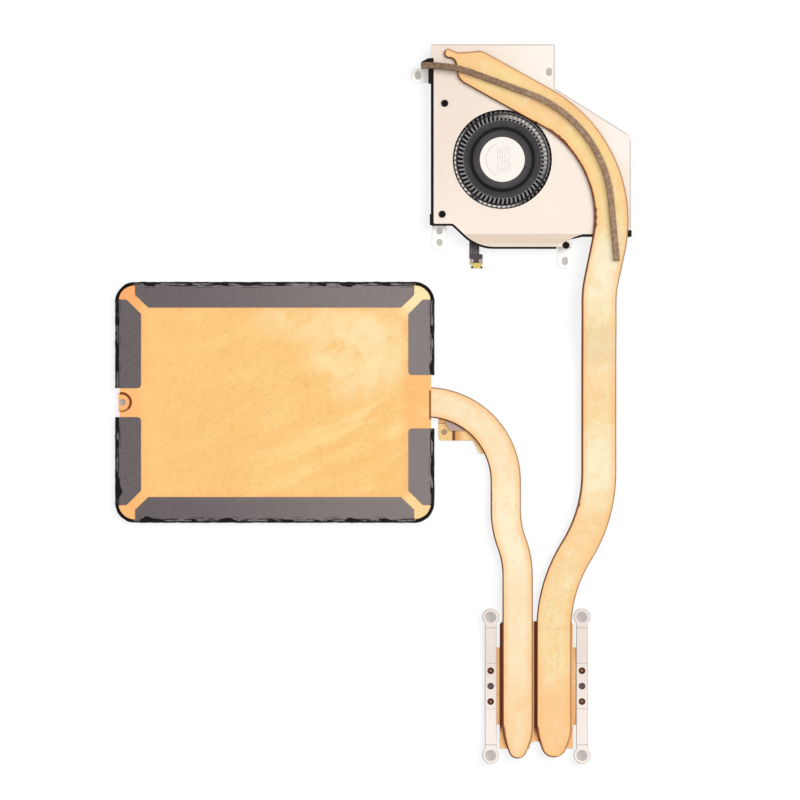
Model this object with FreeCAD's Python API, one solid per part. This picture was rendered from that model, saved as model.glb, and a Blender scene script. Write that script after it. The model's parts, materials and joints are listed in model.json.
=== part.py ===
import FreeCAD, Part
import math
import os
from FreeCAD import Vector

# The origin is the centre of the processor contact face, with the module lying flat.
# Sizes are in millimetres, and +Z points away from the surface that the module lies on.

# Places of the fan's axis and of the middle of the spreader's right edge
fan_x = -11.1
fan_y = 171.2
spreader_right = -33.3
spreader_y = 92.3

# Processor contact, the plates above it and the leaf springs
contact_width = 18.0
contact_length = 28.0
contact_thickness = 0.5
contact_corner = 1.0
mounting_width = 26.2
mounting_length = 25.2
mounting_thickness = 0.5
wing_length = 13.0
cold_plate_width = 23.8
cold_plate_top = 21.1
cold_plate_bottom = 20.3
cold_plate_thickness = 0.6
cold_plate_chamfer = 0.9
cold_plate_notch_width = 3.8
cold_plate_notch_depth = 2.4
screw_spacing_x = 29.7
screw_spacing_y = 45.0
spring_eye_radius = 2.75
spring_hole_radius = 1.8
spring_width = 3.8
spring_thickness = 0.4
spring_flat_length = 14.8
spring_slope_length = 23.2
spring_lift = 0.8
rivet_spacing = 10.0
rivet_radius = 1.1
rivet_dish_radius = 0.65
rivet_dish_depth = 0.35
rivet_head_radius = 1.5
rivet_head_thickness = 0.25
spring_middle_hole_radius = 1.1

# Heat pipes, flattened from round tube, with almost fully rounded sides
pipe_thickness = 1.2
pipe_side_flat = 0.1
left_pipe_x = -6.1
left_pipe_width = 9.9
left_pipe_hidden_length = 84.0
left_pipe_bend_radius = 25.75
left_pipe_drop_x = -9.95
left_pipe_jog_y = 46.5
left_pipe_jog_radius = 30.0
left_pipe_jog_turn = 20.0
left_pipe_tip_y = -23.5
left_tip_length = 11.5
left_tip_shoulder = 4.2
left_tip_nose_width = 4.1
left_tip_shoulder_radius = 18.0
left_ramp_y = 61.4
left_ramp_run = 5.6
left_ramp_radius = 14.0
right_pipe_x = 5.67
right_pipe_width = 11.4
right_pipe_jog_y = 43.9
right_pipe_jog_radius = 48.0
right_pipe_jog_turn = 31.5
right_pipe_tip_y = -23.1
right_tip_length = 10.1
right_tip_shoulder = 2.6
right_tip_nose_width = 5.8
right_tip_shoulder_radius = 12.0
right_ramp_y = 111.0
right_ramp_run = 14.0
right_ramp_radius = 20.0

# The right pipe's way over the fan: its first corner is placed from the fan's axis, the rest
# follows along its two straight directions, and its narrow end is placed from the bend's end
fan_pipe_width = 12.1
fan_pipe_corner = (31.38, -42.7)
fan_pipe_corner_radius = 30.0
fan_pipe_lean_angle = 78.0
fan_pipe_lean_straight = 13.9
fan_pipe_end_angle = 151.0
fan_pipe_bend_radius = 43.0
fan_pipe_inner_radius = 34.0
fan_pipe_split = 8.0
fan_pipe_lead = 2.0
fan_pipe_lead_radius = 60.0
fan_pipe_outer_length = 25.8
fan_pipe_outer_corner = 4.0
fan_pipe_inner_length = 28.1
fan_pipe_inner_corner = 5.0
nub_neck_above = (32.5, 1.6, 5.0)
nub_top = (36.8, 1.35, 1.3)
nub_bottom = (35.75, -2.05, 1.5)
nub_neck_below = (32.25, -0.5, 2.0)

# Copper spreader: a shallow pan with a turned-down rim, and the film folded over it
spreader_width = 103.5
spreader_length = 78.0
spreader_corner = 6.3
spreader_thickness = 0.4
spreader_edge_radius = 1.0
film_thickness = 0.15
film_foot_gap = 0.15
film_side_flap = 8.3
film_end_flap = 8.2
film_band_inset = 0.95
left_gap_low = 87.5
left_gap_high = 96.9
right_gap_low = 83.8
right_gap_high = 101.2
gap_cut_left = 1.4
gap_cut_right = 0.95
flap_corner = 1.3
ear_pocket_radius = 3.35
ear_floor_radius = 2.5
ear_pocket_inset = 0.6
ear_pocket_depth = 0.9
ear_tab = 0.5
ear_hole_radius = 1.05
ear_hole_inset = 0.85

# Thin copper bracket soldered under the left pipe, and the grey pad on it
bracket_thickness = 0.3
bracket_step = 0.5
bracket_ear_left = -31.85
bracket_ear_right = -27.3
bracket_slope_run = 0.9
bracket_bottom = 79.85
bracket_fold_y = 85.2
bracket_ear_corner = 1.3
bracket_hole_radius = 0.93
bracket_hole = (-30.0, 82.6)
bracket_solder_radius = 24.0
bracket_leg_bottom = 75.6
bracket_leg_left = -18.5
bracket_leg_top = -20.7
pad_thickness = 0.5
pad_left = -29.4
pad_right = -23.0
pad_bottom = 83.1
pad_top = 86.6

# Fan housing, from the fan's axis
fan_height = 4.0
base_thickness = 0.4
cover_thickness = 0.3
cover_left = 22.3
cover_tab = 0.85
cover_top = 37.35
cover_upper_right = 17.0
cover_right = 41.7
cover_shoulder_top = 23.1
cover_shoulder_low = 7.55
cover_shoulder_radius = 3.2
cover_corner = 0.5
cover_right_bottom = 24.3
cover_diagonal_right = 26.0
cover_diagonal_left = 17.6
cover_bottom = 28.4
cover_curve_corner_x = 8.1
cover_curve_radius = 14.0
cover_left_bottom = 20.9
cover_curve_top_x = 16.0
ramp_top_y = 24.7
ramp_drop = 0.5
inlet_radius = 16.1
screw_pad_right = 22.5
screw_pad_top = 25.6
cover_slot = (15.2, 28.4)
slot_width = 1.9
cover_slot_length = 2.6
frame_left_lip = 0.9
frame_bottom_lip = 0.6
frame_bar_height = 1.5
frame_end_left = 40.8
frame_end_right = 42.0
frame_end_top = 23.0
cover_gap = 0.05
volute_start_radius = 18.7
volute_start_angle = 130.0
volute_left_radius = 21.6
volute_left_angle = 190.0
volute_bottom_radius = 27.5
frame_wall = 1.4
frame_lug_left = 26.3
frame_lug_low = 30.4
frame_lug_high = 32.9
frame_thick_lip = 1.7
frame_thick_low = 24.7
frame_bump_low = 21.2
frame_bump_high = 17.7
frame_bump = 0.35
screw_places = ((-18.7, 18.2), (-19.5, -17.8), (20.7, -27.9))
screw_head_radius = 1.15
screw_head_thickness = 0.3
screw_shank_radius = 0.7
screw_shank_length = 2.0
screw_recess_width = 0.35
screw_recess_length = 1.3
screw_recess_depth = 0.15
boss_radius = 1.7
top_ear_left = 29.5
top_ear_low = 25.1
top_ear_high = 29.65
top_ear_slot = (-27.35, 27.45)
ear_slot_length = 2.6
left_ear_left = 22.75
left_ear_right = 18.15
left_ear_low = 29.4
left_ear_slots = (-23.2, -26.9)
left_ear_slot_x = -20.4
left_ear_slot_length = 2.2
right_ear_left = 18.1
right_ear_right = 22.7
right_ear_low = 35.3
right_ear_slot = (20.36, -32.95)
ear_corner = 1.9

# Fins between the base and the cover, below the right pipe
fin_inner = 2.0
fin_outer = 6.3
fin_pitch = 1.2
fin_thickness = 0.25
fin_strip = 0.15
fin_start_angle = -3.0
fin_straight_length = 22.0
base_fin_margin = 0.6

# Impeller and motor, from the fan's axis
blade_count = 61
blade_inner_radius = 12.5
blade_outer_radius = 17.2
blade_thickness = 0.6
blade_sweep = 5.2
blade_bow = 0.35
blade_low = 0.9
blade_top = 3.4
rim_ring_radius = 14.85
rim_ring_width = 0.5
rim_ring_top = 3.15
rim_ring_height = 0.5
annulus_radius = 12.75
annulus_inner_radius = 10.35
annulus_low = 1.8
annulus_outer_top = 3.3
annulus_inner_top = 2.6
hub_radius = 9.5
hub_top = 3.35
hub_wall = 0.8
hub_low = 1.0
hub_cap = 0.4
hub_web = 0.4
dimple_radius = 0.4
dimple_depth = 0.12
dimple_place = 8.5
dimple_angles = (2.0, 74.0, 146.0, 220.6, 290.0)
label_radius = 7.3
label_thickness = 0.05
rotor_cup_thickness = 0.3
rotor_cup_wall = 0.4
magnet_thickness = 0.85
magnet_low = 1.05
magnet_height = 1.4
air_gap = 0.3
shaft_radius = 0.75
shaft_clearance = 0.03
shaft_seat_gap = 0.02
rotor_boss_radius = 1.4
rotor_boss_height = 0.25
sleeve_radius = 1.6
sleeve_top = 2.2
sleeve_low = 0.5
holder_wall = 0.5
holder_floor = 0.25
holder_flange_radius = 3.0
holder_flange = 0.2
washer_thickness = 0.17
stator_low = 1.0
stator_height = 1.0
stator_hub_wall = 1.2
tooth_count = 6
tooth_width = 1.3
tooth_shoe = 0.8
coil_width = 3.0
coil_height = 1.7
coil_length = 2.2
coil_gap = 0.1

# Flexible circuit that leaves the housing at the bottom
flex_thickness = 0.15
flex_disc_radius = 7.0
flex_tail_left = -10.7
flex_tail_right = -7.4
flex_neck_y = -30.7
flex_head_left = -10.5
flex_head_right = -6.35
flex_head_low = -34.0
flex_head_chamfer = 0.6
flex_tip_left = -9.4
flex_tip_right = -7.1
flex_tip_low = -35.35
flex_hole_radius = 0.25
flex_hole_inset = 0.6
flex_hole_y = -32.9
flex_slot_clearance = 0.1
stiffener_thickness = 0.15
stiffener_foot = 0.7
stiffener_foot_height = 0.75
finger_count = 4
finger_width = 0.35
finger_thickness = 0.05
finger_length = 1.75

# Foam strip that seals the pipe and the fan's edge to the case above
foam_width = 2.05
foam_top = 6.6
foam_start = (-26.4, 30.4)
foam_turn = (-16.3, 30.4)
foam_turn_radius = 40.0
foam_bend = (32.87, 12.3)
foam_bend_radius = 40.5
foam_end = (37.1, -33.0)

# Sizes that follow from the others
spreader_x = spreader_right - spreader_width / 2
far_off = cover_top + cover_right
mounting_low = contact_thickness
cold_plate_low = mounting_low + mounting_thickness
pipe_seat = cold_plate_low + cold_plate_thickness
left_pipe_low = bracket_step + bracket_thickness
spreader_low = left_pipe_low + pipe_thickness
spreader_high = spreader_low + spreader_thickness
cover_low = fan_height - cover_thickness
screw_x = screw_spacing_x / 2
screw_y = screw_spacing_y / 2


def rounded(corners, closed):
    """Edges through the corners (x, y, z, radius), each corner rounded to its radius."""
    count = len(corners)
    points = [Vector(*corner[:3]) for corner in corners]
    stops = []
    for i in range(count):
        point = points[i]
        radius = corners[i][3]
        at_end = not closed and i in (0, count - 1)
        if at_end or radius == 0:
            stops.append((point, None, point))
            continue
        back = (points[i - 1] - point).normalize()
        ahead = (points[(i + 1) % count] - point).normalize()
        half = back.getAngle(ahead) / 2
        reach = radius / math.tan(half)
        inward = (back + ahead).normalize()
        centre = point + inward * (radius / math.sin(half))
        stops.append((point + back * reach, centre - inward * radius, point + ahead * reach))
    edges = []
    for i in range(count):
        start, middle, end = stops[i]
        if middle:
            edges.append(Part.Arc(start, middle, end).toShape())
        if i == count - 1 and not closed:
            break
        onward = stops[(i + 1) % count][0]
        if (onward - end).Length > 1e-6:
            edges.append(Part.LineSegment(end, onward).toShape())
    return edges


def sheet(corners, low, high):
    """A flat piece from its plan outline of corners (x, y, radius)."""
    edges = rounded([(x, y, low, r) for x, y, r in corners], True)
    return Part.Face(Part.Wire(edges)).extrude(Vector(0, 0, high - low))


def block(left, right, front, back, low, high, corner=0):
    """An upright block with rounded corners in plan."""
    outline = ((left, front), (right, front), (right, back), (left, back))
    return sheet([(x, y, corner) for x, y in outline], low, high)


def disc(x, y, radius, low, high):
    """An upright round disc, pin or hole."""
    return Part.makeCylinder(radius, high - low, Vector(x, y, low))


def slot(x, y, width, length, low, high):
    """A slot with round ends that runs along Y."""
    ends = [disc(x, y + side * (length - width) / 2, width / 2, low, high) for side in (-1, 1)]
    straight = (length - width) / 2
    middle = block(x - width / 2, x + width / 2, y - straight, y + straight, low, high)
    return middle.fuse(ends)


def revolved(profile):
    """A turned piece about the Z axis from its section of (radius, height) points."""
    wire = Part.makePolygon([Vector(r, 0, z) for r, z in profile + [profile[0]]])
    return Part.Face(wire).revolve(Vector(0, 0, 0), Vector(0, 0, 1), 360)


def polar(radius, angle, height=0):
    """A point from its distance and its angle in degrees about the Z axis."""
    turn = math.radians(angle)
    return Vector(radius * math.cos(turn), radius * math.sin(turn), height)


def at_fan(shape):
    """The shape moved from the fan's own axis to its place in the module."""
    return shape.translated(Vector(fan_x, fan_y, 0))


def offset_line(route, distance):
    """The route's corners moved sideways, to the left for a distance above 0."""
    moved = []
    for i, (x, y, radius) in enumerate(route):
        here = Vector(x, y, 0)
        before = Vector(route[i - 1][0], route[i - 1][1], 0) if i else None
        after = Vector(route[i + 1][0], route[i + 1][1], 0) if i < len(route) - 1 else None
        along = [(here - before).normalize()] if before else []
        along += [(after - here).normalize()] if after else []
        sideways = [Vector(-way.y, way.x, 0) for way in along]
        middle = (sideways[0] + sideways[-1]).normalize()
        reach = distance / middle.dot(sideways[0])
        turn = along[0].cross(along[-1]).z
        grown = radius - distance * math.copysign(1, turn) if radius else 0
        moved.append((x + middle.x * reach, y + middle.y * reach, grown))
    return moved


def strip(route, left, right):
    """The outline of a strip along a route, from its reach to the left and to the right."""
    return offset_line(route, left) + offset_line(route, -right)[::-1]


def pipe_edge():
    """The radius along a pipe's rounded sides."""
    return (pipe_thickness - pipe_side_flat) / 2


def soften(shape, open_end, along):
    """Rounds the long upper and lower edges of a flat pipe length, but not its open end."""
    edges = []
    for edge in shape.Edges:
        box = edge.BoundBox
        upright = box.ZLength > pipe_thickness / 2
        at_joint = (edge.CenterOfMass - open_end).dot(along) < 1e-3
        if not upright and not at_joint:
            edges.append(edge)
    return shape.makeFillet(pipe_edge(), edges)


def swept_pipe(route, width):
    """A flattened pipe along a route of corners (x, y, low side, radius)."""
    edges = rounded(route, False)
    start = Vector(*route[0][:3])
    along = (Vector(*route[1][:3]) - start).normalize()
    across = Vector(-along.y, along.x, 0) * (width / 2)
    up = Vector(0, 0, pipe_thickness)
    square = [start - across, start + across, start + across + up, start - across + up]
    section = rounded([(p.x, p.y, p.z, pipe_edge()) for p in square], True)
    shell = Part.BRepOffsetAPI.MakePipeShell(Part.Wire(edges))
    shell.setBiNormalMode(Vector(0, 0, 1))
    shell.add(Part.Wire(section), False, False)
    shell.build()
    shell.makeSolid()
    return shell.shape()


def pipe_tip(width, length, shoulder, nose_width, shoulder_radius):
    """A pipe's crimped end, which points along -Y from the origin."""
    half = width / 2
    nose = nose_width / 2
    nose_turn = math.atan2(length - shoulder, half - nose)
    nose_radius = 0.97 * nose / math.tan(nose_turn / 2)
    outline = [
        (-half, 0, 0),
        (-half, -shoulder, shoulder_radius),
        (-nose, -length, nose_radius),
        (nose, -length, nose_radius),
        (half, -shoulder, shoulder_radius),
        (half, 0, 0),
    ]
    flat = sheet(outline, 0, pipe_thickness)
    return soften(flat, Vector(0, 0, 0), Vector(0, -1, 0))


def jog(x, y, low, radius, turn, shift):
    """The two corners of a sideways jog, the lower one in Y last."""
    rise = shift / math.tan(math.radians(turn)) / 2
    return [(x + shift, y + abs(rise), low, radius), (x, y - abs(rise), low, radius)]


def left_pipe_route():
    """The left pipe's corners, from under the spreader to the cold plate."""
    inner_end = spreader_right - left_pipe_hidden_length
    ramp = (left_ramp_run / 2, -left_ramp_run / 2)
    straight_end = left_pipe_tip_y + left_tip_length
    turns = jog(
        left_pipe_x, left_pipe_jog_y, pipe_seat, left_pipe_jog_radius,
        left_pipe_jog_turn, left_pipe_drop_x - left_pipe_x,
    )
    return [
        (inner_end, spreader_y, left_pipe_low, 0),
        (left_pipe_drop_x, spreader_y, left_pipe_low, left_pipe_bend_radius),
        (left_pipe_drop_x, left_ramp_y + ramp[0], left_pipe_low, left_ramp_radius),
        (left_pipe_drop_x, left_ramp_y + ramp[1], pipe_seat, left_ramp_radius),
        *turns,
        (left_pipe_x, straight_end, pipe_seat, 0),
    ]


def heat_pipe_left():
    """The pipe from under the spreader to the cold plate."""
    route = left_pipe_route()
    tip = pipe_tip(
        left_pipe_width, left_tip_length, left_tip_shoulder,
        left_tip_nose_width, left_tip_shoulder_radius,
    )
    x, y, low = route[-1][:3]
    cold_tip = tip.translated(Vector(x, y, low))
    x, y, low = route[0][:3]
    far_tip = tip.rotated(Vector(0, 0, 0), Vector(0, 0, 1), -90).translated(Vector(x, y, low))
    return swept_pipe(route, left_pipe_width).fuse([cold_tip, far_tip])


def fan_pipe_way():
    """The first corner, the split, the bend's corner, centre and end of the pipe over the fan."""
    lean = polar(1, fan_pipe_lean_angle)
    corner = Vector(*fan_pipe_corner, 0)
    split = corner + lean * fan_pipe_split
    turn = math.radians(fan_pipe_end_angle - fan_pipe_lean_angle) / 2
    bend = corner + lean * (fan_pipe_lean_straight + fan_pipe_bend_radius * math.tan(turn))
    out = polar(1, (fan_pipe_lean_angle + fan_pipe_end_angle) / 2 - 90)
    centre = bend - out * (fan_pipe_bend_radius / math.cos(turn))
    finish = centre + polar(fan_pipe_bend_radius, fan_pipe_end_angle - 90)
    return corner, split, bend, centre, finish


def fan_pipe_route(length):
    """The corners over the fan from the split, with a straight length after the bend."""
    corner, split, bend, centre, finish = fan_pipe_way()
    last = finish + polar(length, fan_pipe_end_angle)
    return [(split.x, split.y, 0), (bend.x, bend.y, fan_pipe_bend_radius), (last.x, last.y, 0)]


def beside_end(along, outwards):
    """A point placed from the bend's end, along the pipe and outwards from its middle."""
    finish = fan_pipe_way()[4]
    outward = polar(outwards, fan_pipe_end_angle - 90)
    point = finish + polar(along, fan_pipe_end_angle) + outward
    return point.x, point.y


def fan_pipe_length():
    """The flat length of the right pipe over the fan, with its narrow end, on the cover."""
    half = fan_pipe_width / 2
    split = fan_pipe_way()[1]
    along = polar(1, fan_pipe_lean_angle)
    lead = split + along * fan_pipe_lead
    edges = []
    for side in (-1, 1):
        step = Vector(-along.y, along.x, 0) * (side * right_pipe_width / 2)
        start, onward = split + step, lead + step
        bend = offset_line(fan_pipe_route(0), side * half)[1]
        edges.append([(start.x, start.y, 0), (onward.x, onward.y, fan_pipe_lead_radius), bend])
    outer, inner = edges
    inner[2] = (*inner[2][:2], fan_pipe_inner_radius)
    outer.append((*beside_end(fan_pipe_outer_length, half), fan_pipe_outer_corner))
    inner.append((*beside_end(fan_pipe_inner_length, -half), fan_pipe_inner_corner))
    nub = [
        (*beside_end(place, outwards), radius)
        for place, outwards, radius in (nub_neck_above, nub_top, nub_bottom, nub_neck_below)
    ]
    flat = sheet(outer + nub + inner[::-1], fan_height, fan_height + pipe_thickness)
    return at_fan(soften(flat, split, along))


def heat_pipe_right():
    """The pipe from the cold plate up and over the fan."""
    corner, split, bend, centre, finish = fan_pipe_way()
    riser_x = fan_x + corner.x
    ramp = (right_ramp_run / 2, -right_ramp_run / 2)
    straight_end = right_pipe_tip_y + right_tip_length
    turns = jog(
        right_pipe_x, right_pipe_jog_y, pipe_seat, right_pipe_jog_radius,
        right_pipe_jog_turn, riser_x - right_pipe_x,
    )
    route = [
        (fan_x + split.x, fan_y + split.y, fan_height, 0),
        (riser_x, fan_y + corner.y, fan_height, fan_pipe_corner_radius),
        (riser_x, right_ramp_y + ramp[0], fan_height, right_ramp_radius),
        (riser_x, right_ramp_y + ramp[1], pipe_seat, right_ramp_radius),
        *turns,
        (right_pipe_x, straight_end, pipe_seat, 0),
    ]
    tip = pipe_tip(
        right_pipe_width, right_tip_length, right_tip_shoulder,
        right_tip_nose_width, right_tip_shoulder_radius,
    )
    cold_tip = tip.translated(Vector(right_pipe_x, straight_end, pipe_seat))
    return swept_pipe(route, right_pipe_width).fuse([cold_tip, fan_pipe_length()])


def pan(grown, low, high, edge):
    """A solid of the spreader's outline, grown outwards, with a rounded upper edge."""
    half_x = spreader_width / 2 + grown
    half_y = spreader_length / 2 + grown
    solid = block(
        spreader_x - half_x, spreader_x + half_x, spreader_y - half_y, spreader_y + half_y,
        low, high, spreader_corner + grown,
    )
    upper = [e for e in solid.Edges if e.BoundBox.ZMin > high - 1e-3]
    return solid.makeFillet(edge, upper)


def gap_cutters(grown):
    """The cuts through the turned-down rim, for the ear at the left and the pipe at the right."""
    left = spreader_right - spreader_width
    right = spreader_right
    high = spreader_high + film_thickness + 1
    return [
        block(left - 1, left + gap_cut_left + grown, left_gap_low, left_gap_high, -1, high),
        block(right - gap_cut_right - grown, right + 1, right_gap_low, right_gap_high, -1, high),
    ]


def spreader_plate():
    """The copper pan with its turned-down rim and the pressed ear at the left."""
    wall = spreader_thickness
    edge = spreader_edge_radius
    outer = pan(0, 0, spreader_high, edge)
    inner = pan(-wall, -1, spreader_low, edge - wall)
    shell = outer.cut([inner] + gap_cutters(0))
    cut_x = spreader_right - spreader_width + gap_cut_left
    floor = spreader_low - ear_pocket_depth
    place = Vector(cut_x + ear_pocket_inset, spreader_y, floor)
    lifted = place + Vector(0, 0, wall)
    depth = spreader_high - floor
    cup = Part.makeCone(ear_floor_radius + wall, ear_pocket_radius + wall, depth, place)
    hollow = Part.makeCone(ear_floor_radius, ear_pocket_radius, depth - wall, lifted)
    far = spreader_length / 2
    low_y, high_y = spreader_y - far, spreader_y + far
    beyond = block(cut_x - far, cut_x - ear_tab, low_y, high_y, -1, spreader_high + 1)
    over_tab = block(cut_x - far, cut_x, low_y, high_y, floor + wall, spreader_high + 1)
    hole = disc(cut_x + ear_hole_inset, spreader_y, ear_hole_radius, -1, spreader_high)
    return shell.fuse(cup.cut([beyond, over_tab])).cut([hollow, hole])


def flap_window():
    """The part of the spreader's top that the film leaves bare, as one upright solid."""
    low = spreader_high - 1.5
    high = spreader_high + film_thickness + 1
    half_x = spreader_width / 2
    half_y = spreader_length / 2
    window_x = half_x - film_side_flap
    window_y = half_y - film_end_flap
    middle = block(
        spreader_x - window_x, spreader_x + window_x,
        spreader_y - window_y, spreader_y + window_y, low, high,
    )
    bands = []
    for side_x in (-1, 1):
        for side_y in (-1, 1):
            band = [
                (window_x, window_y - 2.1, 0),
                (window_x + 4.7, window_y + 2.6, 1.0),
                (half_x, window_y + 2.6, 0),
                (half_x, half_y, 0),
                (window_x + 1.9, half_y, 0),
                (window_x + 1.9, window_y + 4.1, 1.0),
                (window_x - 2.6, window_y - 0.2, 0),
            ]
            placed = [(spreader_x + side_x * x, spreader_y + side_y * y, r) for x, y, r in band]
            bands.append(sheet(placed, low, high))
    inside = pan(-film_band_inset, low - 1, high + 1, 0.1)
    return middle.fuse([band.common(inside) for band in bands])


def side_gaps():
    """The two bare gaps in the film's sides, with rounded inner corners on the flaps."""
    low = -1
    high = spreader_high + film_thickness + 1
    half_x = spreader_width / 2
    gaps = []
    for side, gap_low, gap_high in (
        (-1, left_gap_low, left_gap_high), (1, right_gap_low, right_gap_high),
    ):
        inner = spreader_x + side * (half_x - film_side_flap)
        outer = spreader_x + side * (half_x + 2)
        deep = inner - side * 3
        funnel = inner + side * flap_corner
        gap = block(min(deep, outer), max(deep, outer), gap_low, gap_high, low, high)
        mouth = [
            (deep, gap_low - flap_corner, 0),
            (inner, gap_low - flap_corner, 0),
            (inner, gap_low, flap_corner * 0.95),
            (funnel + side, gap_low, 0),
            (funnel + side, gap_high, 0),
            (inner, gap_high, flap_corner * 0.95),
            (inner, gap_high + flap_corner, 0),
            (deep, gap_high + flap_corner, 0),
        ]
        gaps.append(gap.fuse(sheet(mouth, low, high)))
    return gaps


def edge_film():
    """The film folded over the spreader's edge, as its upper and lower lengths."""
    outer = pan(
        film_thickness, film_foot_gap, spreader_high + film_thickness,
        spreader_edge_radius + film_thickness,
    )
    inner = pan(0, -1, spreader_high, spreader_edge_radius)
    film = outer.cut([inner, flap_window()] + side_gaps())
    return sorted(film.Solids, key=lambda solid: -solid.CenterOfMass.y)


def cold_plate():
    """The long copper plate that both pipes are soldered to."""
    half = cold_plate_width / 2
    chamfer = cold_plate_chamfer
    notch_x = (left_pipe_x + right_pipe_x) / 2
    notch = cold_plate_notch_width / 2
    top = cold_plate_top
    bottom = -cold_plate_bottom
    outline = [
        (-half, bottom, 0.4),
        (notch_x - notch, bottom, 0),
        (notch_x - notch, bottom + cold_plate_notch_depth, notch * 0.9),
        (notch_x + notch, bottom + cold_plate_notch_depth, notch * 0.9),
        (notch_x + notch, bottom, 0),
        (half, bottom, 0.4),
        (half, top - chamfer, 0),
        (half - chamfer, top, 0),
        (chamfer - half, top, 0),
        (-half, top - chamfer, 0),
    ]
    return sheet(outline, cold_plate_low, pipe_seat)


def mounting_plate():
    """The wide plate whose wings carry the leaf springs."""
    high = cold_plate_low
    body = block(
        -mounting_width / 2, mounting_width / 2, -mounting_length / 2, mounting_length / 2,
        mounting_low, high, 0.5,
    )
    reach = screw_x + spring_width / 2
    wings = block(-reach, reach, -wing_length / 2, wing_length / 2, mounting_low, high, 0.5)
    holes = []
    for side in (-1, 1):
        holes.append(disc(side * screw_x, 0, spring_middle_hole_radius, 0, high + 1))
        for end in (-1, 1):
            y = end * rivet_spacing / 2
            holes.append(disc(side * screw_x, y, rivet_radius, 0, high + 1))
    return body.fuse(wings).cut(holes)


def contact_pedestal():
    """The raised copper pad that touches the processor."""
    x = contact_width / 2
    y = contact_length / 2
    return block(-x, x, -y, y, 0, contact_thickness, contact_corner)


def spring_arm(side):
    """A leaf spring with a screw eye at each end, bent up from its flat middle."""
    low = cold_plate_low
    flat = spring_flat_length / 2
    slope_end = (spring_flat_length + spring_slope_length) / 2
    end = screw_y + spring_eye_radius + 1
    side_line = [
        (-end, spring_lift), (-slope_end, spring_lift), (-flat, 0),
        (flat, 0), (slope_end, spring_lift), (end, spring_lift),
    ]
    lower = [Vector(-10, y, low + z) for y, z in side_line]
    upper = [point + Vector(0, 0, spring_thickness) for point in lower[::-1]]
    ribbon = Part.Face(Part.makePolygon(lower + upper + lower[:1])).extrude(Vector(20, 0, 0))
    ribbon.translate(Vector(side * screw_x, 0, 0))
    x = side * screw_x
    high = low + spring_lift + spring_thickness + 1
    half = spring_width / 2
    plan = block(x - half, x + half, -screw_y, screw_y, low - 1, high)
    eyes = [disc(x, end_side * screw_y, spring_eye_radius, low - 1, high) for end_side in (-1, 1)]
    holes = [disc(x, end_side * screw_y, spring_hole_radius, low - 2, high) for end_side in (-1, 1)]
    holes += [
        disc(x, end_side * rivet_spacing / 2, rivet_radius, low - 2, high) for end_side in (-1, 1)
    ]
    holes.append(disc(x, 0, spring_middle_hole_radius, low - 2, high))
    return ribbon.common(plan.fuse(eyes)).cut(holes)


def arm_rivets():
    """Four copper rivets that hold the leaf springs on the mounting plate."""
    high = cold_plate_low + spring_thickness
    rivets = []
    for side in (-1, 1):
        for end in (-1, 1):
            x = side * screw_x
            y = end * rivet_spacing / 2
            shank = disc(x, y, rivet_radius, mounting_low, high)
            head = disc(x, y, rivet_head_radius, mounting_low - rivet_head_thickness, mounting_low)
            dish = disc(x, y, rivet_dish_radius, high - rivet_dish_depth, high + 1)
            rivets.append(shank.fuse(head).cut(dish))
    return Part.makeCompound(rivets)


def pipe_bracket():
    """The thin copper bracket under the left pipe, with its pressed-down screw ear."""
    low = bracket_step
    high = low + bracket_thickness
    centre_x = left_pipe_drop_x - left_pipe_bend_radius
    centre_y = spreader_y - left_pipe_bend_radius
    reach = bracket_solder_radius
    top_y = centre_y + math.sqrt(reach ** 2 - (bracket_ear_left - centre_x) ** 2)
    leg_right = centre_x + math.sqrt(reach ** 2 - (bracket_leg_bottom - centre_y) ** 2)
    slope_x = bracket_ear_right + bracket_slope_run
    slope_y = bracket_fold_y + bracket_slope_run
    middle = math.atan2(top_y + bracket_leg_bottom - 2 * centre_y, 2 * (leg_right - centre_x) - 9)
    arc_point = Vector(centre_x, centre_y, low) + polar(reach, math.degrees(middle))
    chain = [
        Vector(leg_right, bracket_leg_bottom, low),
        Vector(bracket_leg_left, bracket_leg_bottom, low),
        Vector(bracket_leg_top, bracket_bottom, low),
        Vector(slope_x, bracket_bottom, low),
        Vector(slope_x, slope_y, low),
        Vector(bracket_ear_left, slope_y, low),
        Vector(bracket_ear_left, top_y, low),
    ]
    edges = [Part.LineSegment(a, b).toShape() for a, b in zip(chain, chain[1:])]
    edges.append(Part.Arc(chain[-1], arc_point, chain[0]).toShape())
    upper = Part.Face(Part.Wire(edges)).extrude(Vector(0, 0, bracket_thickness))
    ear_outline = [
        (bracket_ear_left, bracket_bottom, bracket_ear_corner),
        (bracket_ear_right, bracket_bottom, 0),
        (bracket_ear_right, bracket_fold_y, 0),
        (bracket_ear_left, bracket_fold_y, 0),
    ]
    ear = sheet(ear_outline, 0, bracket_thickness)
    hole = disc(*bracket_hole, bracket_hole_radius, -1, high + 1)
    rise = [(0, 0), (bracket_slope_run, low), (bracket_slope_run, high), (0, bracket_thickness)]
    side_points = [Vector(bracket_ear_right + run, bracket_bottom, z) for run, z in rise]
    side_wire = Part.makePolygon(side_points + side_points[:1])
    side = Part.Face(side_wire).extrude(Vector(0, slope_y - bracket_bottom, 0))
    back_points = [Vector(bracket_ear_left, bracket_fold_y + run, z) for run, z in rise]
    back_wire = Part.makePolygon(back_points + back_points[:1])
    back = Part.Face(back_wire).extrude(Vector(slope_x - bracket_ear_left, 0, 0))
    return upper.fuse([ear, side, back]).cut(hole).removeSplitter()


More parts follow.
